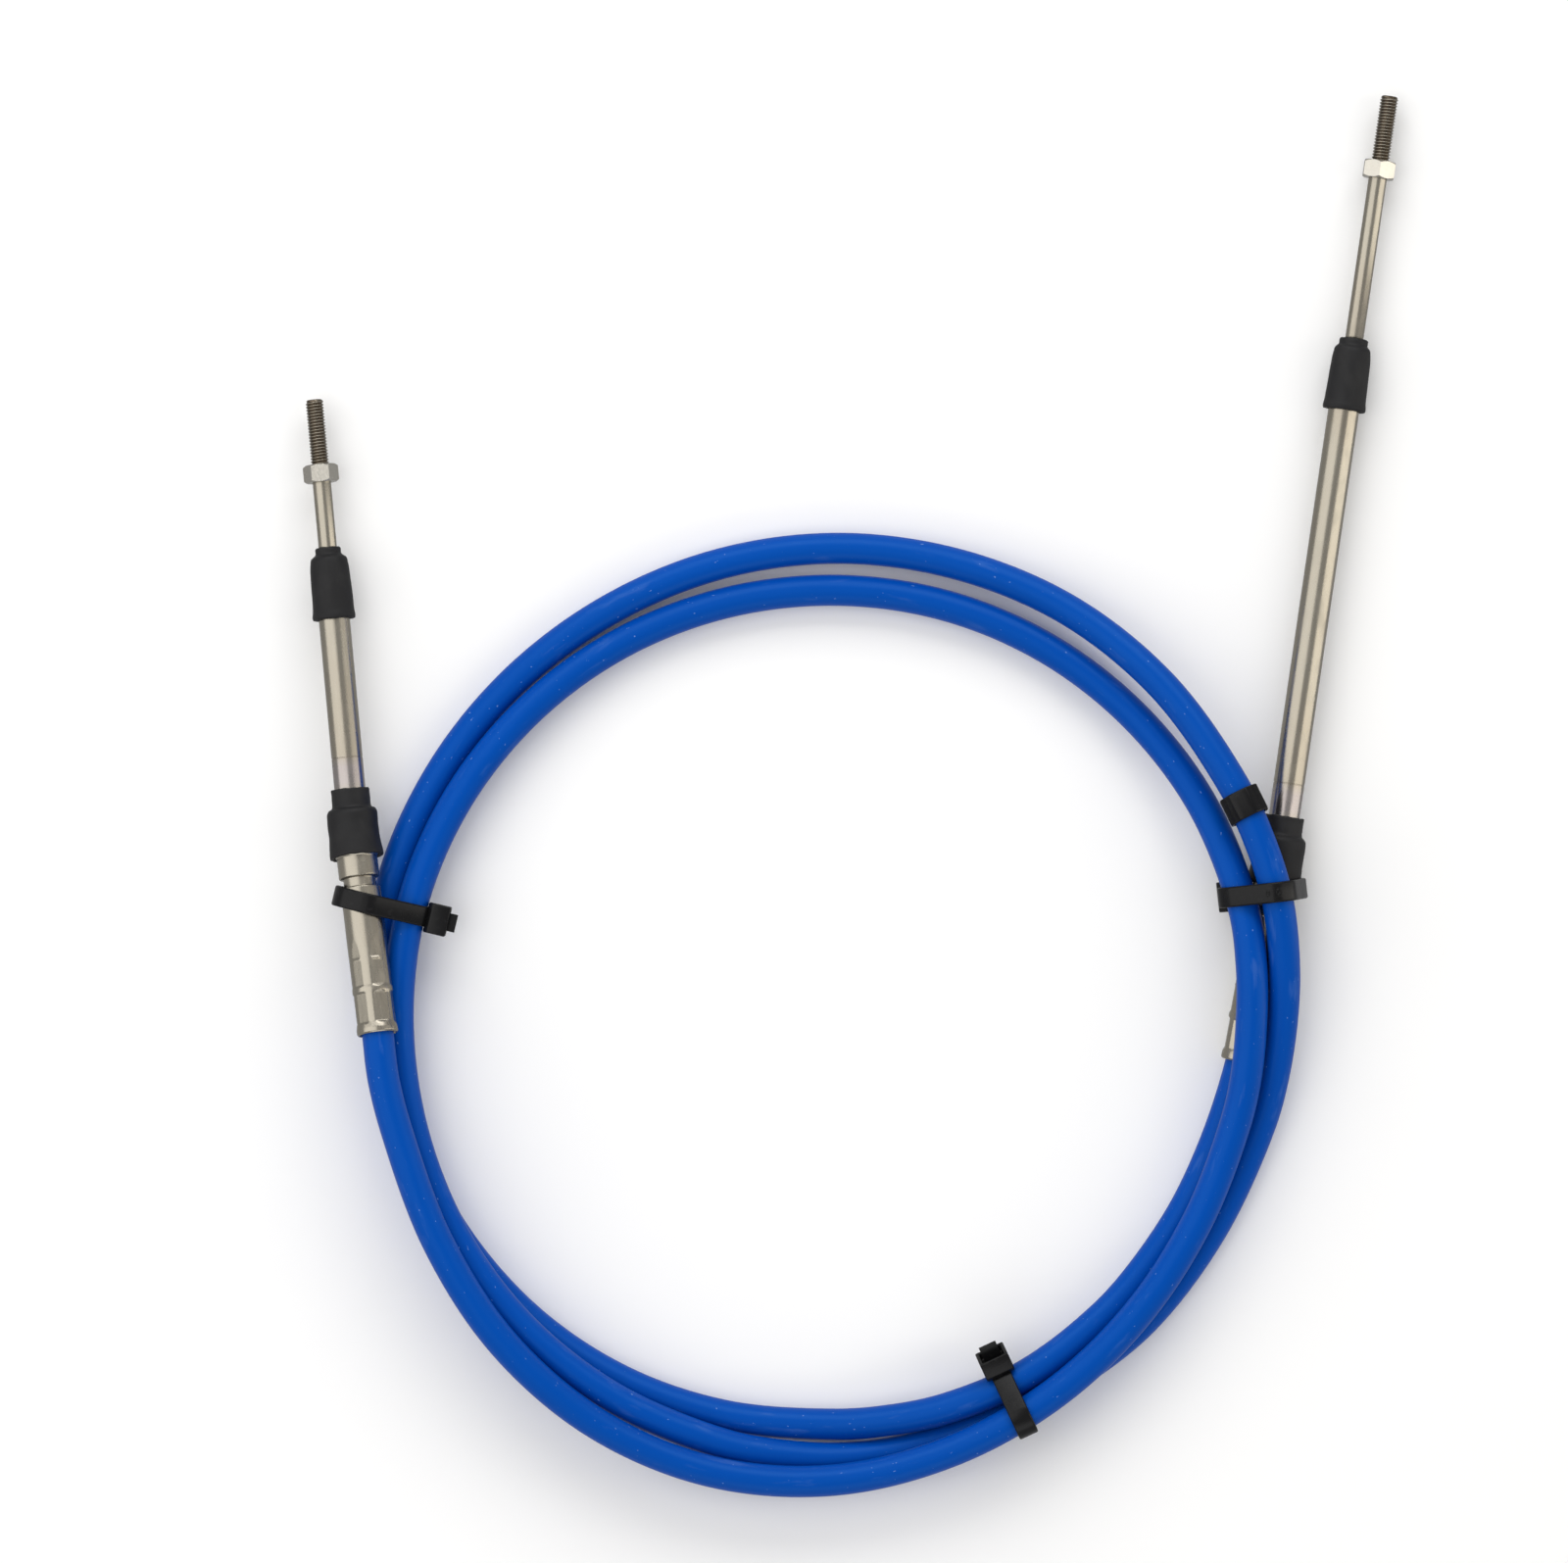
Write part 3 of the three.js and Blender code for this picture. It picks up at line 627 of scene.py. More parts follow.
def evenly(line, spacing):
    """A line's points at an even spacing, its tangents and its running angles in degrees."""
    travelled = np.concatenate([[0], np.cumsum(np.linalg.norm(np.diff(line, axis=0), axis=1))])
    marks = np.linspace(0, travelled[-1], round(travelled[-1] / spacing) + 1)
    points = np.stack([np.interp(marks, travelled, line[:, axis]) for axis in range(3)], axis=1)
    tangents = np.gradient(points, axis=0)
    tangents /= np.linalg.norm(tangents, axis=1)[:, None]
    flat = points - np.array(COIL_CENTRE)
    running = np.degrees(np.unwrap(np.arctan2(flat[:, 1], flat[:, 0])))
    running += 360 * (running[0] < 0)
    return points, tangents, running, marks


def skin(points, cyclic=False, flat=False, **settings):
    """A mesh of Blender's own bevelled curve through points."""
    curve = bpy.data.curves.new("line", "CURVE")
    curve.dimensions = "2D" if flat else "3D"
    curve.fill_mode = "NONE" if flat else "FULL"
    for key, value in settings.items():
        setattr(curve, key, value)
    spline = curve.splines.new("POLY")
    spline.points.add(len(points) - 1)
    spline.use_cyclic_u = cyclic
    for point, where in zip(spline.points, points):
        point.co = (*where, 1.0)
    carrier = bpy.data.objects.new("line", curve)
    mesh = bpy.data.meshes.new_from_object(carrier)
    bpy.data.objects.remove(carrier)
    bpy.data.curves.remove(curve)
    bm = bmesh.new()
    bm.from_mesh(mesh)
    bpy.data.meshes.remove(mesh)
    return bm


def strap_circles(tie, strands):
    """Circles that a tie's strap goes round in its own plane, one list for each thing it holds."""
    size = sizes()
    turn = math.radians(tie["facing"])
    out = np.array((math.cos(turn), math.sin(turn), 0.0))
    across = np.array((math.sin(turn), -math.cos(turn), 0.0))
    origin = np.array(from_coil(*tie["at"]))
    points, tangents, running, _ = strands
    held = []
    for angle in tie["strands"]:
        near = np.abs(running - angle) < STRAND_WINDOW
        radius = size.jacket_radius + STRAP_SLACK * MM
        held.append([(p, t, radius) for p, t in zip(points[near], tangents[near])])
    for letter in tie["ends"]:
        axis = np.array(heading(*ENDS[letter]["hub"]))
        steps = np.arange(0, CRIMP_START, HUB_STEP)
        held.append([
            (np.array(behind(letter, s)), axis,
             size.boot_radius if s < BOOT_BACK else size.collar_radius)
            for s in steps
        ])
    half = size.strap_width / 2 + FIT_GAP * MM
    circles = []
    for group in held:
        circles.append([])
        for point, along, radius in group:
            offset = point - origin
            if abs(offset @ across) > half:
                continue
            widening = radius / abs(along @ across) - radius
            for shift in (-widening, widening):
                circles[-1].append((offset @ out + shift, point[2] - COIL_CENTRE.z, radius))
    to_place = Matrix((
        (out[0], 0, across[0], origin[0]),
        (out[1], 0, across[1], origin[1]),
        (out[2], 1, across[2], COIL_CENTRE.z),
        (0, 0, 0, 1),
    ))
    return circles, to_place


def band_point(circles, turn, offset):
    """Where a band pulled tight round circles faces an angle, a set distance outside them."""
    c, s = math.cos(turn), math.sin(turn)
    out, up, radius = max(circles, key=lambda circle: circle[0] * c + circle[1] * s + circle[2])
    return out + (radius + offset) * c, up + (radius + offset) * s, 0.0


def head_block(tie, seat):
    """A ratchet head with its slot, and the cut tail that comes out of it, before they are placed."""
    size = sizes()
    depth, length, width = size.head_depth, size.head_length, size.head_width
    bm = bmesh.new()
    bmesh.ops.create_cube(bm, size=1.0)
    bmesh.ops.scale(bm, vec=(depth, length, width), verts=bm.verts[:])
    bmesh.ops.translate(bm, vec=(seat + depth / 2, 0, 0), verts=bm.verts[:])
    chin = [e for e in bm.edges if all(v.co.x < seat + 0.1 * depth for v in e.verts)
            and abs(e.verts[0].co.z - e.verts[1].co.z) > width / 2]
    bmesh.ops.bevel(bm, geom=chin, offset=CHIN_CHAMFER * MM, affect="EDGES", segments=1, profile=0.5,
                    material=-1)
    back = max(bm.faces, key=lambda face: face.calc_center_median().x)
    bmesh.ops.inset_individual(bm, faces=[back], thickness=HEAD_WALL * MM)
    pushed = bmesh.ops.extrude_discrete_faces(bm, faces=[back])["faces"]
    bmesh.ops.translate(bm, vec=(-HEAD_SLOT * MM, 0, 0), verts=pushed[0].verts[:])
    rims = [e for e in bm.edges if len(e.link_faces) == 2 and e.calc_face_angle(0) > 0.4]
    bmesh.ops.bevel(bm, geom=rims, offset=HEAD_ROUND * MM, affect="EDGES", segments=3, profile=0.5,
                    material=-1, clamp_overlap=True)
    tail = bmesh.ops.create_grid(bm, x_segments=TAIL_TEETH, y_segments=1, size=0.5)["verts"]
    reach = (tie["tail"] + TAIL_IN_HEAD) * MM
    bmesh.ops.scale(bm, vec=(reach, TAIL_SHARE * size.strap_width, 1), verts=tail)
    bmesh.ops.rotate(bm, cent=(0, 0, 0), matrix=Matrix.Rotation(math.pi / 2, 3, "X"), verts=tail)
    middle = seat + depth + tie["tail"] * MM - reach / 2
    bmesh.ops.translate(bm, vec=(middle, -size.strap_thickness / 2, 0), verts=tail)
    faces = list({face for vert in tail for face in vert.link_faces})
    thick = bmesh.ops.extrude_face_region(bm, geom=faces)["geom"]
    grown = [part for part in thick if isinstance(part, bmesh.types.BMVert)]
    bmesh.ops.translate(bm, vec=(0, size.strap_thickness, 0), verts=grown)
    for vert in grown:
        row = round((vert.co.x - middle + reach / 2) / reach * TAIL_TEETH)
        vert.co.y -= TOOTH_DEPTH * MM * (row % 2)
    bmesh.ops.recalc_face_normals(bm, faces=bm.faces[:])
    bmesh.ops.translate(bm, vec=(0, tie["shift"] * MM, 0), verts=bm.verts[:])
    return bm


def joined(first, second, matrix):
    """Adds a second mesh, moved by a matrix, to a first one."""
    bmesh.ops.transform(second, matrix=matrix, verts=second.verts[:])
    carrier = bpy.data.meshes.new("carrier")
    second.to_mesh(carrier)
    second.free()
    first.from_mesh(carrier)
    bpy.data.meshes.remove(carrier)
    return first


class CABLE_OT_jacket(bpy.types.Operator):
    """Lay the blue jacket along its coil, from hub to hub"""

    bl_idname = "cable.jacket"
    bl_label = "Jacket"

    def execute(self, context):
        size = sizes()
        points, _, _, marks = evenly(route_line(route_points()), JACKET_STEP * MM)
        bm = skin(points, bevel_depth=size.jacket_radius, bevel_resolution=6)
        bmesh.ops.holes_fill(bm, edges=bm.edges[:])
        jacket = finished("jacket", bm, Matrix.Identity(4), kept("jacket plastic", jacket_plastic), 60)
        corners = len(jacket.data.vertices) // len(points)
        if corners * len(points) != len(jacket.data.vertices):
            raise RuntimeError("the jacket's rings don't match its line")
        turn = TURN / corners
        radius = size.jacket_radius
        own = [
            (radius * math.cos(turn * i), radius * math.sin(turn * i), mark)
            for mark in marks for i in range(corners)
        ]
        jacket.data.attributes["local"].data.foreach_set("vector", np.array(own).ravel())
        dressed(jacket, "root", "jacket", "cable_jacket")
        behind("a", MOUTH)
        return {"FINISHED"}


class CABLE_OT_hubs(bpy.types.Operator):
    """Turn the two steel hubs and crimp them onto the jacket"""

    bl_idname = "cable.hubs"
    bl_label = "Hubs"

    def execute(self, context):
        for letter in ENDS:
            body = finished(
                f"hub_{letter}_body", self.hub(ENDS[letter]["crimp_turn"]),
                end_axes(letter, "hub"), kept("hub steel", hub_steel), 28,
            )
            dressed(body, "root", "steel", f"hub_{letter}")
        return {"FINISHED"}

    def hub(self, crimp_turn):
        """A hub with its socket, collar, groove, two hexagonal crimps and flared mouth."""
        size = sizes()
        socket = size.ball_radius / MM + RUN_GAP
        barrel, collar = size.barrel_radius / MM, size.collar_radius / MM
        groove, lip = size.groove_radius / MM, size.lip_radius / MM
        groove_end = GROOVE_START + GROOVE_WIDTH
        shoulder = BOOT_BACK - FIT_GAP
        mouth = size.jacket_radius / MM + FIT_GAP
        outline = [
            (socket + SOCKET_WALL, SOCKET_LENGTH), (socket, SOCKET_LENGTH), (socket, -SOCKET_DEPTH),
            (CORE_PASSAGE, -SOCKET_DEPTH), (CORE_PASSAGE, -CRIMP_START), (mouth, -CRIMP_START),
            (mouth, 1.0 - MOUTH), (mouth + 0.5, -MOUTH), (lip - 0.35, -MOUTH),
            (lip, 0.5 - MOUTH), (lip, -LIP_START - 1.4), (barrel - 0.1, -LIP_START + 0.4),
            (barrel - 0.1, -SECOND_START - 0.5), (barrel + 0.1, -SECOND_START + 0.4),
            (barrel + 0.1, -RIDGE_START - 0.4), (barrel, -RIDGE_START + 0.5),
            (barrel, -groove_end - 0.4), (barrel - 0.4, -groove_end), (groove, -groove_end),
            (groove, -GROOVE_START), (collar - 0.4, -GROOVE_START), (collar, -GROOVE_START + 0.4),
            (collar, -shoulder - 0.5), (socket + SOCKET_WALL, -shoulder),
        ]
        bm = moulded(outline, ease=0.16, row=0.45, sides=120)
        flats = (
            (RIDGE_START, CRIMP_START, size.crimp_first),
            (LIP_START, SECOND_START, size.crimp_second),
        )
        inside = size.groove_radius + 0.6 * MM
        past_the_lip = 9.0

        def crimped(radius, angle, along):
            if radius < inside:
                return radius, along
            off = (math.degrees(angle) - 90.0 - crimp_turn) % 60.0 - 30.0
            back = -along / MM
            apothem = past_the_lip
            for end, start, width in flats:
                if start <= back <= end:
                    edge = min(back - start, end - back) / CRIMP_END
                    apothem = width / 2 / MM + CRIMP_SWELL * max(0.0, 1.0 - edge)
            if CRIMP_START - PETAL_LENGTH <= back < CRIMP_START:
                share = (CRIMP_START - back) / PETAL_LENGTH
                apothem = size.crimp_first / 2 / MM + PETAL_RISE * share ** PETAL_CURVE
            flat = apothem * MM / math.cos(math.radians(off))
            return min(radius, flat), along

        reshape(bm, crimped)
        return bm


class CABLE_OT_lower_boots(bpy.types.Operator):
    """Mould the rubber boots over the ball joints"""

    bl_idname = "cable.lower_boots"
    bl_label = "Lower boots"

    def execute(self, context):
        for seed, letter in enumerate(ENDS):
            bm = self.boot(ENDS[letter]["neck"], seed * 7.3)
            hub, tube = end_axes(letter, "hub"), end_axes(letter, "tube")
            to_tube = hub.inverted() @ tube
            bend_length, early = 8.0 * MM, 0.1
            for vert in bm.verts:
                share = min(1.0, max(0.0, vert.co.y / bend_length + early))
                share = share * share * (3 - 2 * share)
                vert.co = vert.co.lerp(to_tube @ vert.co, share)
            boot = finished(
                f"lower_boot_{letter}_rubber", bm, hub, kept("boot rubber", boot_rubber), 55,
            )
            hub @ Vector((0, -2.0 * MM, 0))
            hub @ Vector((0, 9.0 * MM, 0))
            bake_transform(boot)
            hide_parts(f"lower_boot_{letter}")
        return {"FINISHED"}

    def boot(self, neck, seed):
        """A lower boot with its soft waist and its neck, before it bends to the tube."""
        size = sizes()
        rim = size.boot_radius / MM
        inner = size.ball_radius / MM + RUN_GAP + SOCKET_WALL + FIT_GAP
        throat = size.tube_radius / MM + BOOT_GAP
        outline = [
            (inner, -BOOT_BACK), (rim - 0.15, -BOOT_BACK - 0.1), (rim, -BOOT_BACK + 0.6),
            (rim - 0.2, -BOOT_BACK + 3.0), (rim - 0.55, -1.5), (rim - 0.45, BOOT_FRONT - 3.2),
            (rim - 0.5, BOOT_FRONT - 1.2), (rim - 1.3, BOOT_FRONT - 0.1), (neck + 0.5, BOOT_FRONT),
            (neck, BOOT_FRONT + 0.7), (neck - 0.15, BOOT_NECK_END - 1.6),
            (neck, BOOT_NECK_END - 0.3), (neck - 0.3, BOOT_NECK_END), (throat, BOOT_NECK_END),
            (throat, BOOT_FRONT - 1.4), (inner - 1.0, BOOT_FRONT - 1.4), (inner, BOOT_FRONT - 2.4),
        ]
        bm = moulded(outline, ease=0.7, row=0.8, sides=80)

        def uneven(radius, angle, along):
            outside = radius > inner * MM + 0.4 * MM or along > BOOT_FRONT * MM
            wave = bent_wave(angle, along, BOOT_WAVE_SIZE * MM, seed)
            edge = BOOT_END_WAVE * MM * bent_wave(angle * 2, 0, 1, seed + 3.1)
            near_end = along < -BOOT_BACK * MM + 1.5 * MM or along > BOOT_NECK_END * MM - 1.5 * MM
            tight = radius < throat * MM + 0.3 * MM
            swell = 0 if tight or not outside else BOOT_SWELL * MM * wave
            return radius + swell, along + (edge if near_end else 0)

        reshape(bm, uneven)
        return bm


class CABLE_OT_support_tubes(bpy.types.Operator):
    """Turn the support tubes with their swaged balls"""

    bl_idname = "cable.support_tubes"
    bl_label = "Support tubes"

    def execute(self, context):
        for letter, end in ENDS.items():
            tube = finished(
                f"support_tube_{letter}_steel", self.tube(end), end_axes(letter, "tube"),
                kept("tube steel", tube_steel), 30,
            )
            dressed(tube, f"tube_{letter}", "steel", f"support_tube_{letter}")
        return {"FINISHED"}

    def tube(self, end):
        """A support tube with its ball and its scribed ring."""
        size = sizes()
        radius, ball = size.tube_radius / MM, size.ball_radius / MM
        bore = size.rod_radius / MM + RUN_GAP
        length = end["wiper_top"] - WIPER_NECK_LENGTH - WIPER_ROUND - FIT_GAP
        foot, seat = -math.acos(bore / ball), math.acos(radius / ball)
        turns = np.linspace(foot, seat, 21)
        ball_arc = [(ball * math.cos(turn), ball * math.sin(turn)) for turn in turns]
        ring = end["ring"]
        outline = [
            (bore, length), *ball_arc, (radius, ball_arc[-1][1] + 0.8),
            (radius, ring - 0.22), (radius - 0.14, ring - 0.12), (radius - 0.14, ring + 0.12),
            (radius, ring + 0.22), (radius, length - 0.5), (radius - 0.5, length),
        ]
        return turned(in_metres(outline))


class CABLE_OT_wiper_boots(bpy.types.Operator):
    """Mould the rubber wiper boots on the tubes' outer ends"""

    bl_idname = "cable.wiper_boots"
    bl_label = "Wiper boots"

    def execute(self, context):
        for seed, (letter, end) in enumerate(ENDS.items()):
            boot = finished(
                f"upper_boot_{letter}_rubber", self.wiper(end, 20 + seed * 5.7),
                end_axes(letter, "tube"), kept("boot rubber", boot_rubber), 55,
            )
            dressed(boot, f"tube_{letter}", "rubber", f"upper_boot_{letter}")
        return {"FINISHED"}

    def wiper(self, end, seed):
        """A wiper boot that narrows from the tube to the rod."""
        size = sizes()
        lip, top, neck = size.wiper_radius / MM, end["wiper_top"], end["wiper_neck"]
        bottom = top - WIPER_LENGTH
        shoulder = top - WIPER_NECK_LENGTH
        throat, hole = size.tube_radius / MM + BOOT_GAP, size.rod_radius / MM + WIPE_GAP
        seat = shoulder - WIPER_ROUND
        outline = [
            (throat, bottom + 0.5), (lip - 0.7, bottom), (lip - 0.1, bottom + 0.3),
            (lip, bottom + 1.3), (lip - 0.3, bottom + 2.8), (lip - 0.45, bottom + 9.0),
            (lip - 0.75, seat - 2.0), (lip - 1.15, shoulder - 0.4), (neck + 0.7, shoulder + 0.35),
            (neck - 0.05, shoulder + 1.0), (neck + 0.1, top - 0.5), (neck - 0.4, top),
            (hole, top), (hole, seat), (throat, seat),
        ]
        bm = moulded(outline, ease=0.8, row=0.9, sides=80)

        def uneven(radius, angle, along):
            edge = WIPER_END_WAVE * MM * bent_wave(angle * 2, 0, 1, seed + 1.7)
            near_end = along < (bottom + 1.5) * MM or along > (top - 0.6) * MM
            wave = WIPER_SWELL * MM * bent_wave(angle, along, WIPER_WAVE_SIZE * MM, seed)
            tight = radius < throat * MM + 0.5 * MM and along < shoulder * MM
            thin = radius < hole * MM + 0.3 * MM
            return radius + (0 if tight or thin else wave), along + (edge if near_end else 0)

        reshape(bm, uneven)
        return bm


class CABLE_OT_rods(bpy.types.Operator):
    """Turn the sliding rods and cut their threads"""

    bl_idname = "cable.rods"
    bl_label = "Rods"

    def execute(self, context):
        for letter, end in ENDS.items():
            rod = finished(
                f"rod_{letter}_steel", self.rod(end["tip"]), end_axes(letter, "tube"),
                kept("rod steel", rod_steel), 50,
            )
            start = end["tip"] * MM - sizes().thread_length
            local = np.empty(3 * len(rod.data.vertices))
            rod.data.attributes["local"].data.foreach_get("vector", local)
            share = np.clip((local[1::3] - start) / (1.0 * MM), 0.0, 1.0)
            rod.data.attributes.new("thread", "FLOAT", "POINT").data.foreach_set("value", share)
            dressed(rod, f"rod_{letter}", "steel", f"rod_{letter}")
        return {"FINISHED"}

    def rod(self, tip):
        """A rod with its thread's ridges and its chamfered tip."""
        size = sizes()
        radius, thread, pitch = size.rod_radius, size.thread_length, size.thread_pitch
        tip = tip * MM
        start, chamfer = tip - thread, TIP_CHAMFER * MM
        steps = round((thread - chamfer) / pitch * ROWS_A_TURN)
        rows = [(radius, start + (thread - chamfer) * i / steps) for i in range(steps + 1)]
        outline = [
            (0, tip - ROD_LENGTH * MM), (radius - 0.3 * MM, tip - ROD_LENGTH * MM),
            (radius, tip - (ROD_LENGTH - 0.3) * MM), *rows,
            (radius - 0.4 * MM, tip - 0.25 * MM), (radius - chamfer, tip), (0, tip),
        ]
        bm = turned(outline, 48)

        def threaded(now, angle, along):
            if not start + 0.2 * MM < along < tip - 0.3 * MM or now < radius * 0.8:
                return now, along
            phase = (along / pitch + angle / TURN) % 1.0
            ridge = min(1.0, max(0.0, 2.6 * abs(phase - 0.5) - 0.15))
            run_in = min(1.0, (along - start) / (THREAD_RUN_IN * pitch))
            return now - 0.05 * MM - size.thread_depth * run_in * (1 - ridge), along

        reshape(bm, threaded)
        return bm


class CABLE_OT_jam_nuts(bpy.types.Operator):
    """Make the hexagonal jam nuts with their turned corners"""

    bl_idname = "cable.jam_nuts"
    bl_label = "Jam nuts"

    def execute(self, context):
        for letter, end in ENDS.items():
            nut = finished(
                f"jam_nut_{letter}_steel", self.nut(end), end_axes(letter, "tube"),
                kept("nut steel", nut_steel), 22,
            )
            dressed(nut, f"rod_{letter}", "nut_steel", f"jam_nut_{letter}")
        return {"FINISHED"}

    def nut(self, end):
        """A hexagonal nut with its corners turned off at both faces."""
        size = sizes()
        apothem = size.nut_width / 2
        corner = apothem / math.cos(math.pi / 6)
        outer = (end["tip"] - NUT_TO_TIP) * MM
        inner = outer - NUT_HEIGHT * MM
        bore = size.rod_radius + 0.05 * MM
        chamfer = NUT_BORE_CHAMFER * MM
        slant = [NUT_BEVEL * MM * i / 8 for i in range(9)]
        low = [(corner, inner + depth) for depth in slant]
        high = [(corner, outer - depth) for depth in reversed(slant)]
        outline = [
            (bore + chamfer, inner), *low, *high, (bore + chamfer, outer),
            (bore, outer - chamfer), (bore, inner + chamfer),
        ]
        bm = turned(outline, NUT_SIDES)

        def hexagonal(radius, angle, along):
            if radius < apothem * 0.9:
                return radius, along
            off = (math.degrees(angle) - end["nut_turn"]) % 60.0 - 30.0
            edge = max(0.0, min(along - inner, outer - along))
            turned_corner = apothem * 0.975 + edge * 1.45
            return min(apothem / math.cos(math.radians(off)), turned_corner), along

        reshape(bm, hexagonal)
        return bm


class CABLE_OT_ties(bpy.types.Operator):
    """Pull the nylon ties around the strands and the hubs"""

    bl_idname = "cable.ties"
    bl_label = "Ties"

    def execute(self, context):
        size = sizes()
        strands = evenly(route_line(route_points()), STRAND_STEP * MM)
        thick = size.strap_thickness
        for name, tie in TIES.items():
            circles, to_place = strap_circles(tie, strands)
            every = [circle for group in circles for circle in group]
            if len(every) < 4:
                raise RuntimeError(f"{name} holds nothing")
            middle = thick / 2 + 0.05 * MM
            band = [band_point(every, TURN * i / STRAP_POINTS, middle) for i in range(STRAP_POINTS)]
            bm = skin(
                band, cyclic=True, flat=True, extrude=size.strap_width / 2 - 0.4 * thick,
                bevel_depth=thick / 2, bevel_resolution=3,
            )
            under = [circle for i in tie["over"] for circle in circles[i]]
            out, up, radius = np.mean(under, axis=0)
            seat = radius + 0.1 * MM
            to_head = Matrix.Rotation(math.radians(tie["faces"]), 4, "Z")
            joined(bm, head_block(tie, seat), Matrix.Translation((out, up, 0)) @ to_head)
            for angle in tie["pips"]:
                joined(bm, self.pip(), self.on_band(every, angle))
            piece = finished(f"{name}_nylon", bm, to_place, kept("tie nylon", tie_nylon), 35)
            dressed(piece, "root", "nylon", name)
        return {"FINISHED"}

    def on_band(self, circles, degrees):
        """Where the strap's outside faces an angle in its plane."""
        turn = math.radians(degrees)
        where = band_point(circles, turn, sizes().strap_thickness)
        return Matrix.Translation(where) @ Matrix.Rotation(turn - math.pi / 2, 4, "Z")

    def pip(self):
        """A small moulded dimple with a raised rim."""
        outline = [
            (0, -0.05), (0.25, -0.02), (0.5, 0.22), (0.75, 0.28), (1.0, 0.1), (1.15, -0.3), (0, -0.3),
        ]
        bm = turned(in_metres(eased(outline, 0.1, closed=False)), 24)
        bmesh.ops.scale(bm, vec=(0.75, 1.0, 1.15), verts=bm.verts[:])
        return bm


class CABLE_OT_band_clip(bpy.types.Operator):
    """Fold the band clip around the outer strand"""

    bl_idname = "cable.band_clip"
    bl_label = "Band clip"

    def execute(self, context):
        size = sizes()
        points, tangents, running, _ = evenly(route_line(route_points()), STRAND_STEP * MM)
        seat = int(np.argmin(np.abs(running - CLIP_TURN)))
        wall = CLIP_WALL * MM
        bm = skin(
            self.fold(size.jacket_radius + wall / 2 + CLIP_SLACK * MM), cyclic=True, flat=True,
            extrude=size.clip_length / 2 - wall * 0.42, bevel_depth=wall / 2, bevel_resolution=3,
        )
        side = Vector((0, 0, 1)).cross(Vector(tangents[seat])).normalized()
        up = Vector(tangents[seat]).cross(side)
        to_place = Matrix.Translation(Vector(points[seat])) @ Matrix(
            (side, up, tangents[seat])
        ).transposed().to_4x4()
        clip = finished("band_clip_nylon", bm, to_place, kept("tie nylon", tie_nylon), 35)
        dressed(clip, "root", "nylon", "band_clip")
        return {"FINISHED"}

    def fold(self, radius):
        """A band folded into soft flats round the strand."""
        bends = (18, 62, 112, 155, 205, 250, 295, 340)
        outline = []
        for i in range(180):
            angle = 2.0 * i
            nearest = min(abs((angle - bend + 180) % 360 - 180) for bend in bends)
            reach = radius + FOLD_RISE * MM * max(0.0, 1 - nearest / FOLD_SPREAD) ** 1.5
            turn = math.radians(angle)
            outline.append((reach * math.cos(turn), reach * math.sin(turn), 0.0))
        return outline


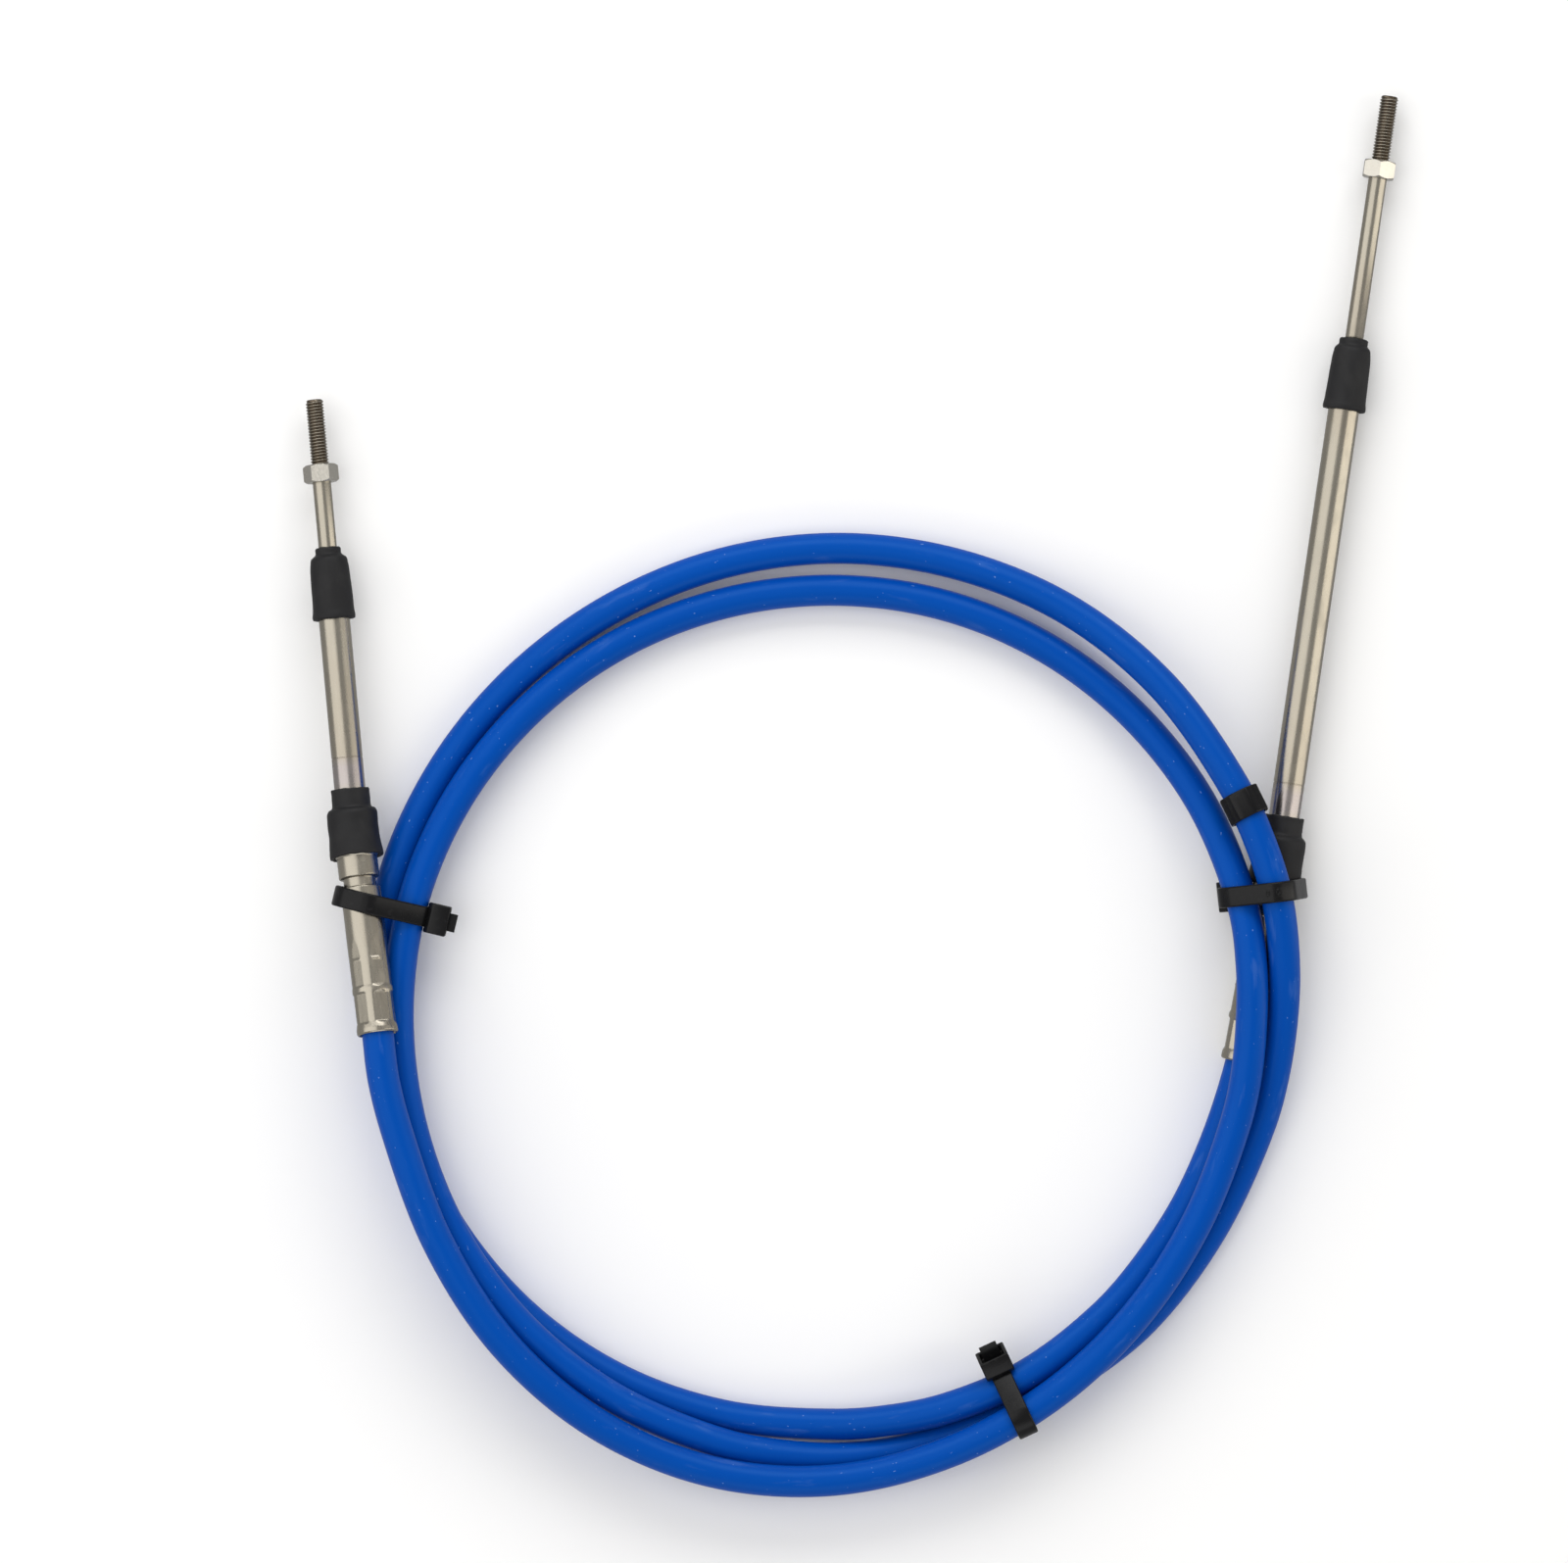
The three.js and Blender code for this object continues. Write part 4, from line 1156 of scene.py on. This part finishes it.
class CABLE_OT_stage(bpy.types.Operator):
    """Set the pale floor, the soft lights and the camera above"""

    bl_idname = "cable.stage"
    bl_label = "Stage"

    def execute(self, context):
        scene = context.scene
        bm = bmesh.new()
        bmesh.ops.create_grid(bm, x_segments=1, y_segments=1, size=FLOOR_HALF)
        floor_finish = Finish("floor", roughness=0.6, specular_ior_level=0.2)
        floor_finish.shader.inputs["Base Color"].default_value = (*finish().floor_colour, 1.0)
        floor = finished("floor", bm, Matrix.Translation((0, 0, -FLOOR_DROP)), floor_finish.material)
        floor.visible_glossy = False
        world = bpy.data.worlds.new("studio")
        scene.world = world
        world.use_nodes = True
        sky = world.node_tree.nodes["Background"]
        sky.inputs["Color"].default_value = (1.0, 1.0, 1.0, 1.0)
        sky.inputs["Strength"].default_value = SKY_STRENGTH
        lamps = (
            ("far", (0.0, 2.0, 1.5), (3.2, 1.5), 40.0, (1.0, 1.0, 1.0)),
            ("left", (-1.5, 0.0, 1.7), (2.2, 3.2), 26.0, (1.0, 0.985, 0.96)),
            ("right", (2.2, 0.0, 0.7), (0.8, 3.2), 14.0, (1.0, 0.95, 0.86)),
            ("near", (0.3, -2.2, 1.4), (2.8, 1.2), 12.0, (1.0, 1.0, 1.0)),
        )
        for name, where, spread, power, tint in lamps:
            data = bpy.data.lights.new(name, "AREA")
            data.shape = "RECTANGLE"
            data.size, data.size_y = spread
            data.energy = power
            data.color = tint
            lamp = bpy.data.objects.new(name, data)
            lamp.location = where
            lamp.rotation_euler = (-Vector(where)).to_track_quat("-Z", "Y").to_euler()
            lamp.visible_camera = False
            scene.collection.objects.link(lamp)
        self.camera(scene)
        scene.view_settings.view_transform = "Standard"
        return {"FINISHED"}

    def camera(self, scene):
        """A long lens straight above, framing as much of the floor as the photograph does."""
        data = bpy.data.cameras.new("camera")
        data.lens = data.sensor_width * CAMERA_HEIGHT / FRAMED_WIDTH
        data.clip_end = 50.0
        camera = bpy.data.objects.new("camera", data)
        camera.location = from_coil(*FRAME_MIDDLE) + Vector((0, 0, CAMERA_HEIGHT))
        scene.collection.objects.link(camera)
        scene.camera = camera


class CABLE_PT_panel(bpy.types.Panel):
    """Sizes, finishes and the pieces that make up the cable."""

    bl_idname = "CABLE_PT_panel"
    bl_label = "Control cable"
    bl_space_type = "VIEW_3D"
    bl_region_type = "UI"
    bl_category = "Control cable"

    def draw(self, context):
        layout = self.layout
        for group in (sizes(), finish()):
            box = layout.box()
            for key in group.__annotations__:
                box.prop(group, key)
        for step in STEPS:
            layout.operator(step.bl_idname)


STEPS = (
    CABLE_OT_hubs, CABLE_OT_jacket, CABLE_OT_lower_boots, CABLE_OT_support_tubes,
    CABLE_OT_wiper_boots, CABLE_OT_rods, CABLE_OT_jam_nuts, CABLE_OT_ties, CABLE_OT_band_clip,
    CABLE_OT_stage,
)
CLASSES = (CableSizes, CableFinish, *STEPS, CABLE_PT_panel)


def register():
    for each in CLASSES:
        bpy.utils.register_class(each)
    bpy.types.Scene.cable_sizes = PointerProperty(type=CableSizes)
    bpy.types.Scene.cable_finish = PointerProperty(type=CableFinish)


def unregister():
    del bpy.types.Scene.cable_finish
    del bpy.types.Scene.cable_sizes
    for each in reversed(CLASSES):
        bpy.utils.unregister_class(each)


def main():
    """Builds every piece and the stage."""
    register()
    for step in STEPS:
        group, name = step.bl_idname.split(".")
        getattr(getattr(bpy.ops, group), name)()


if __name__ == "__main__":
    main()
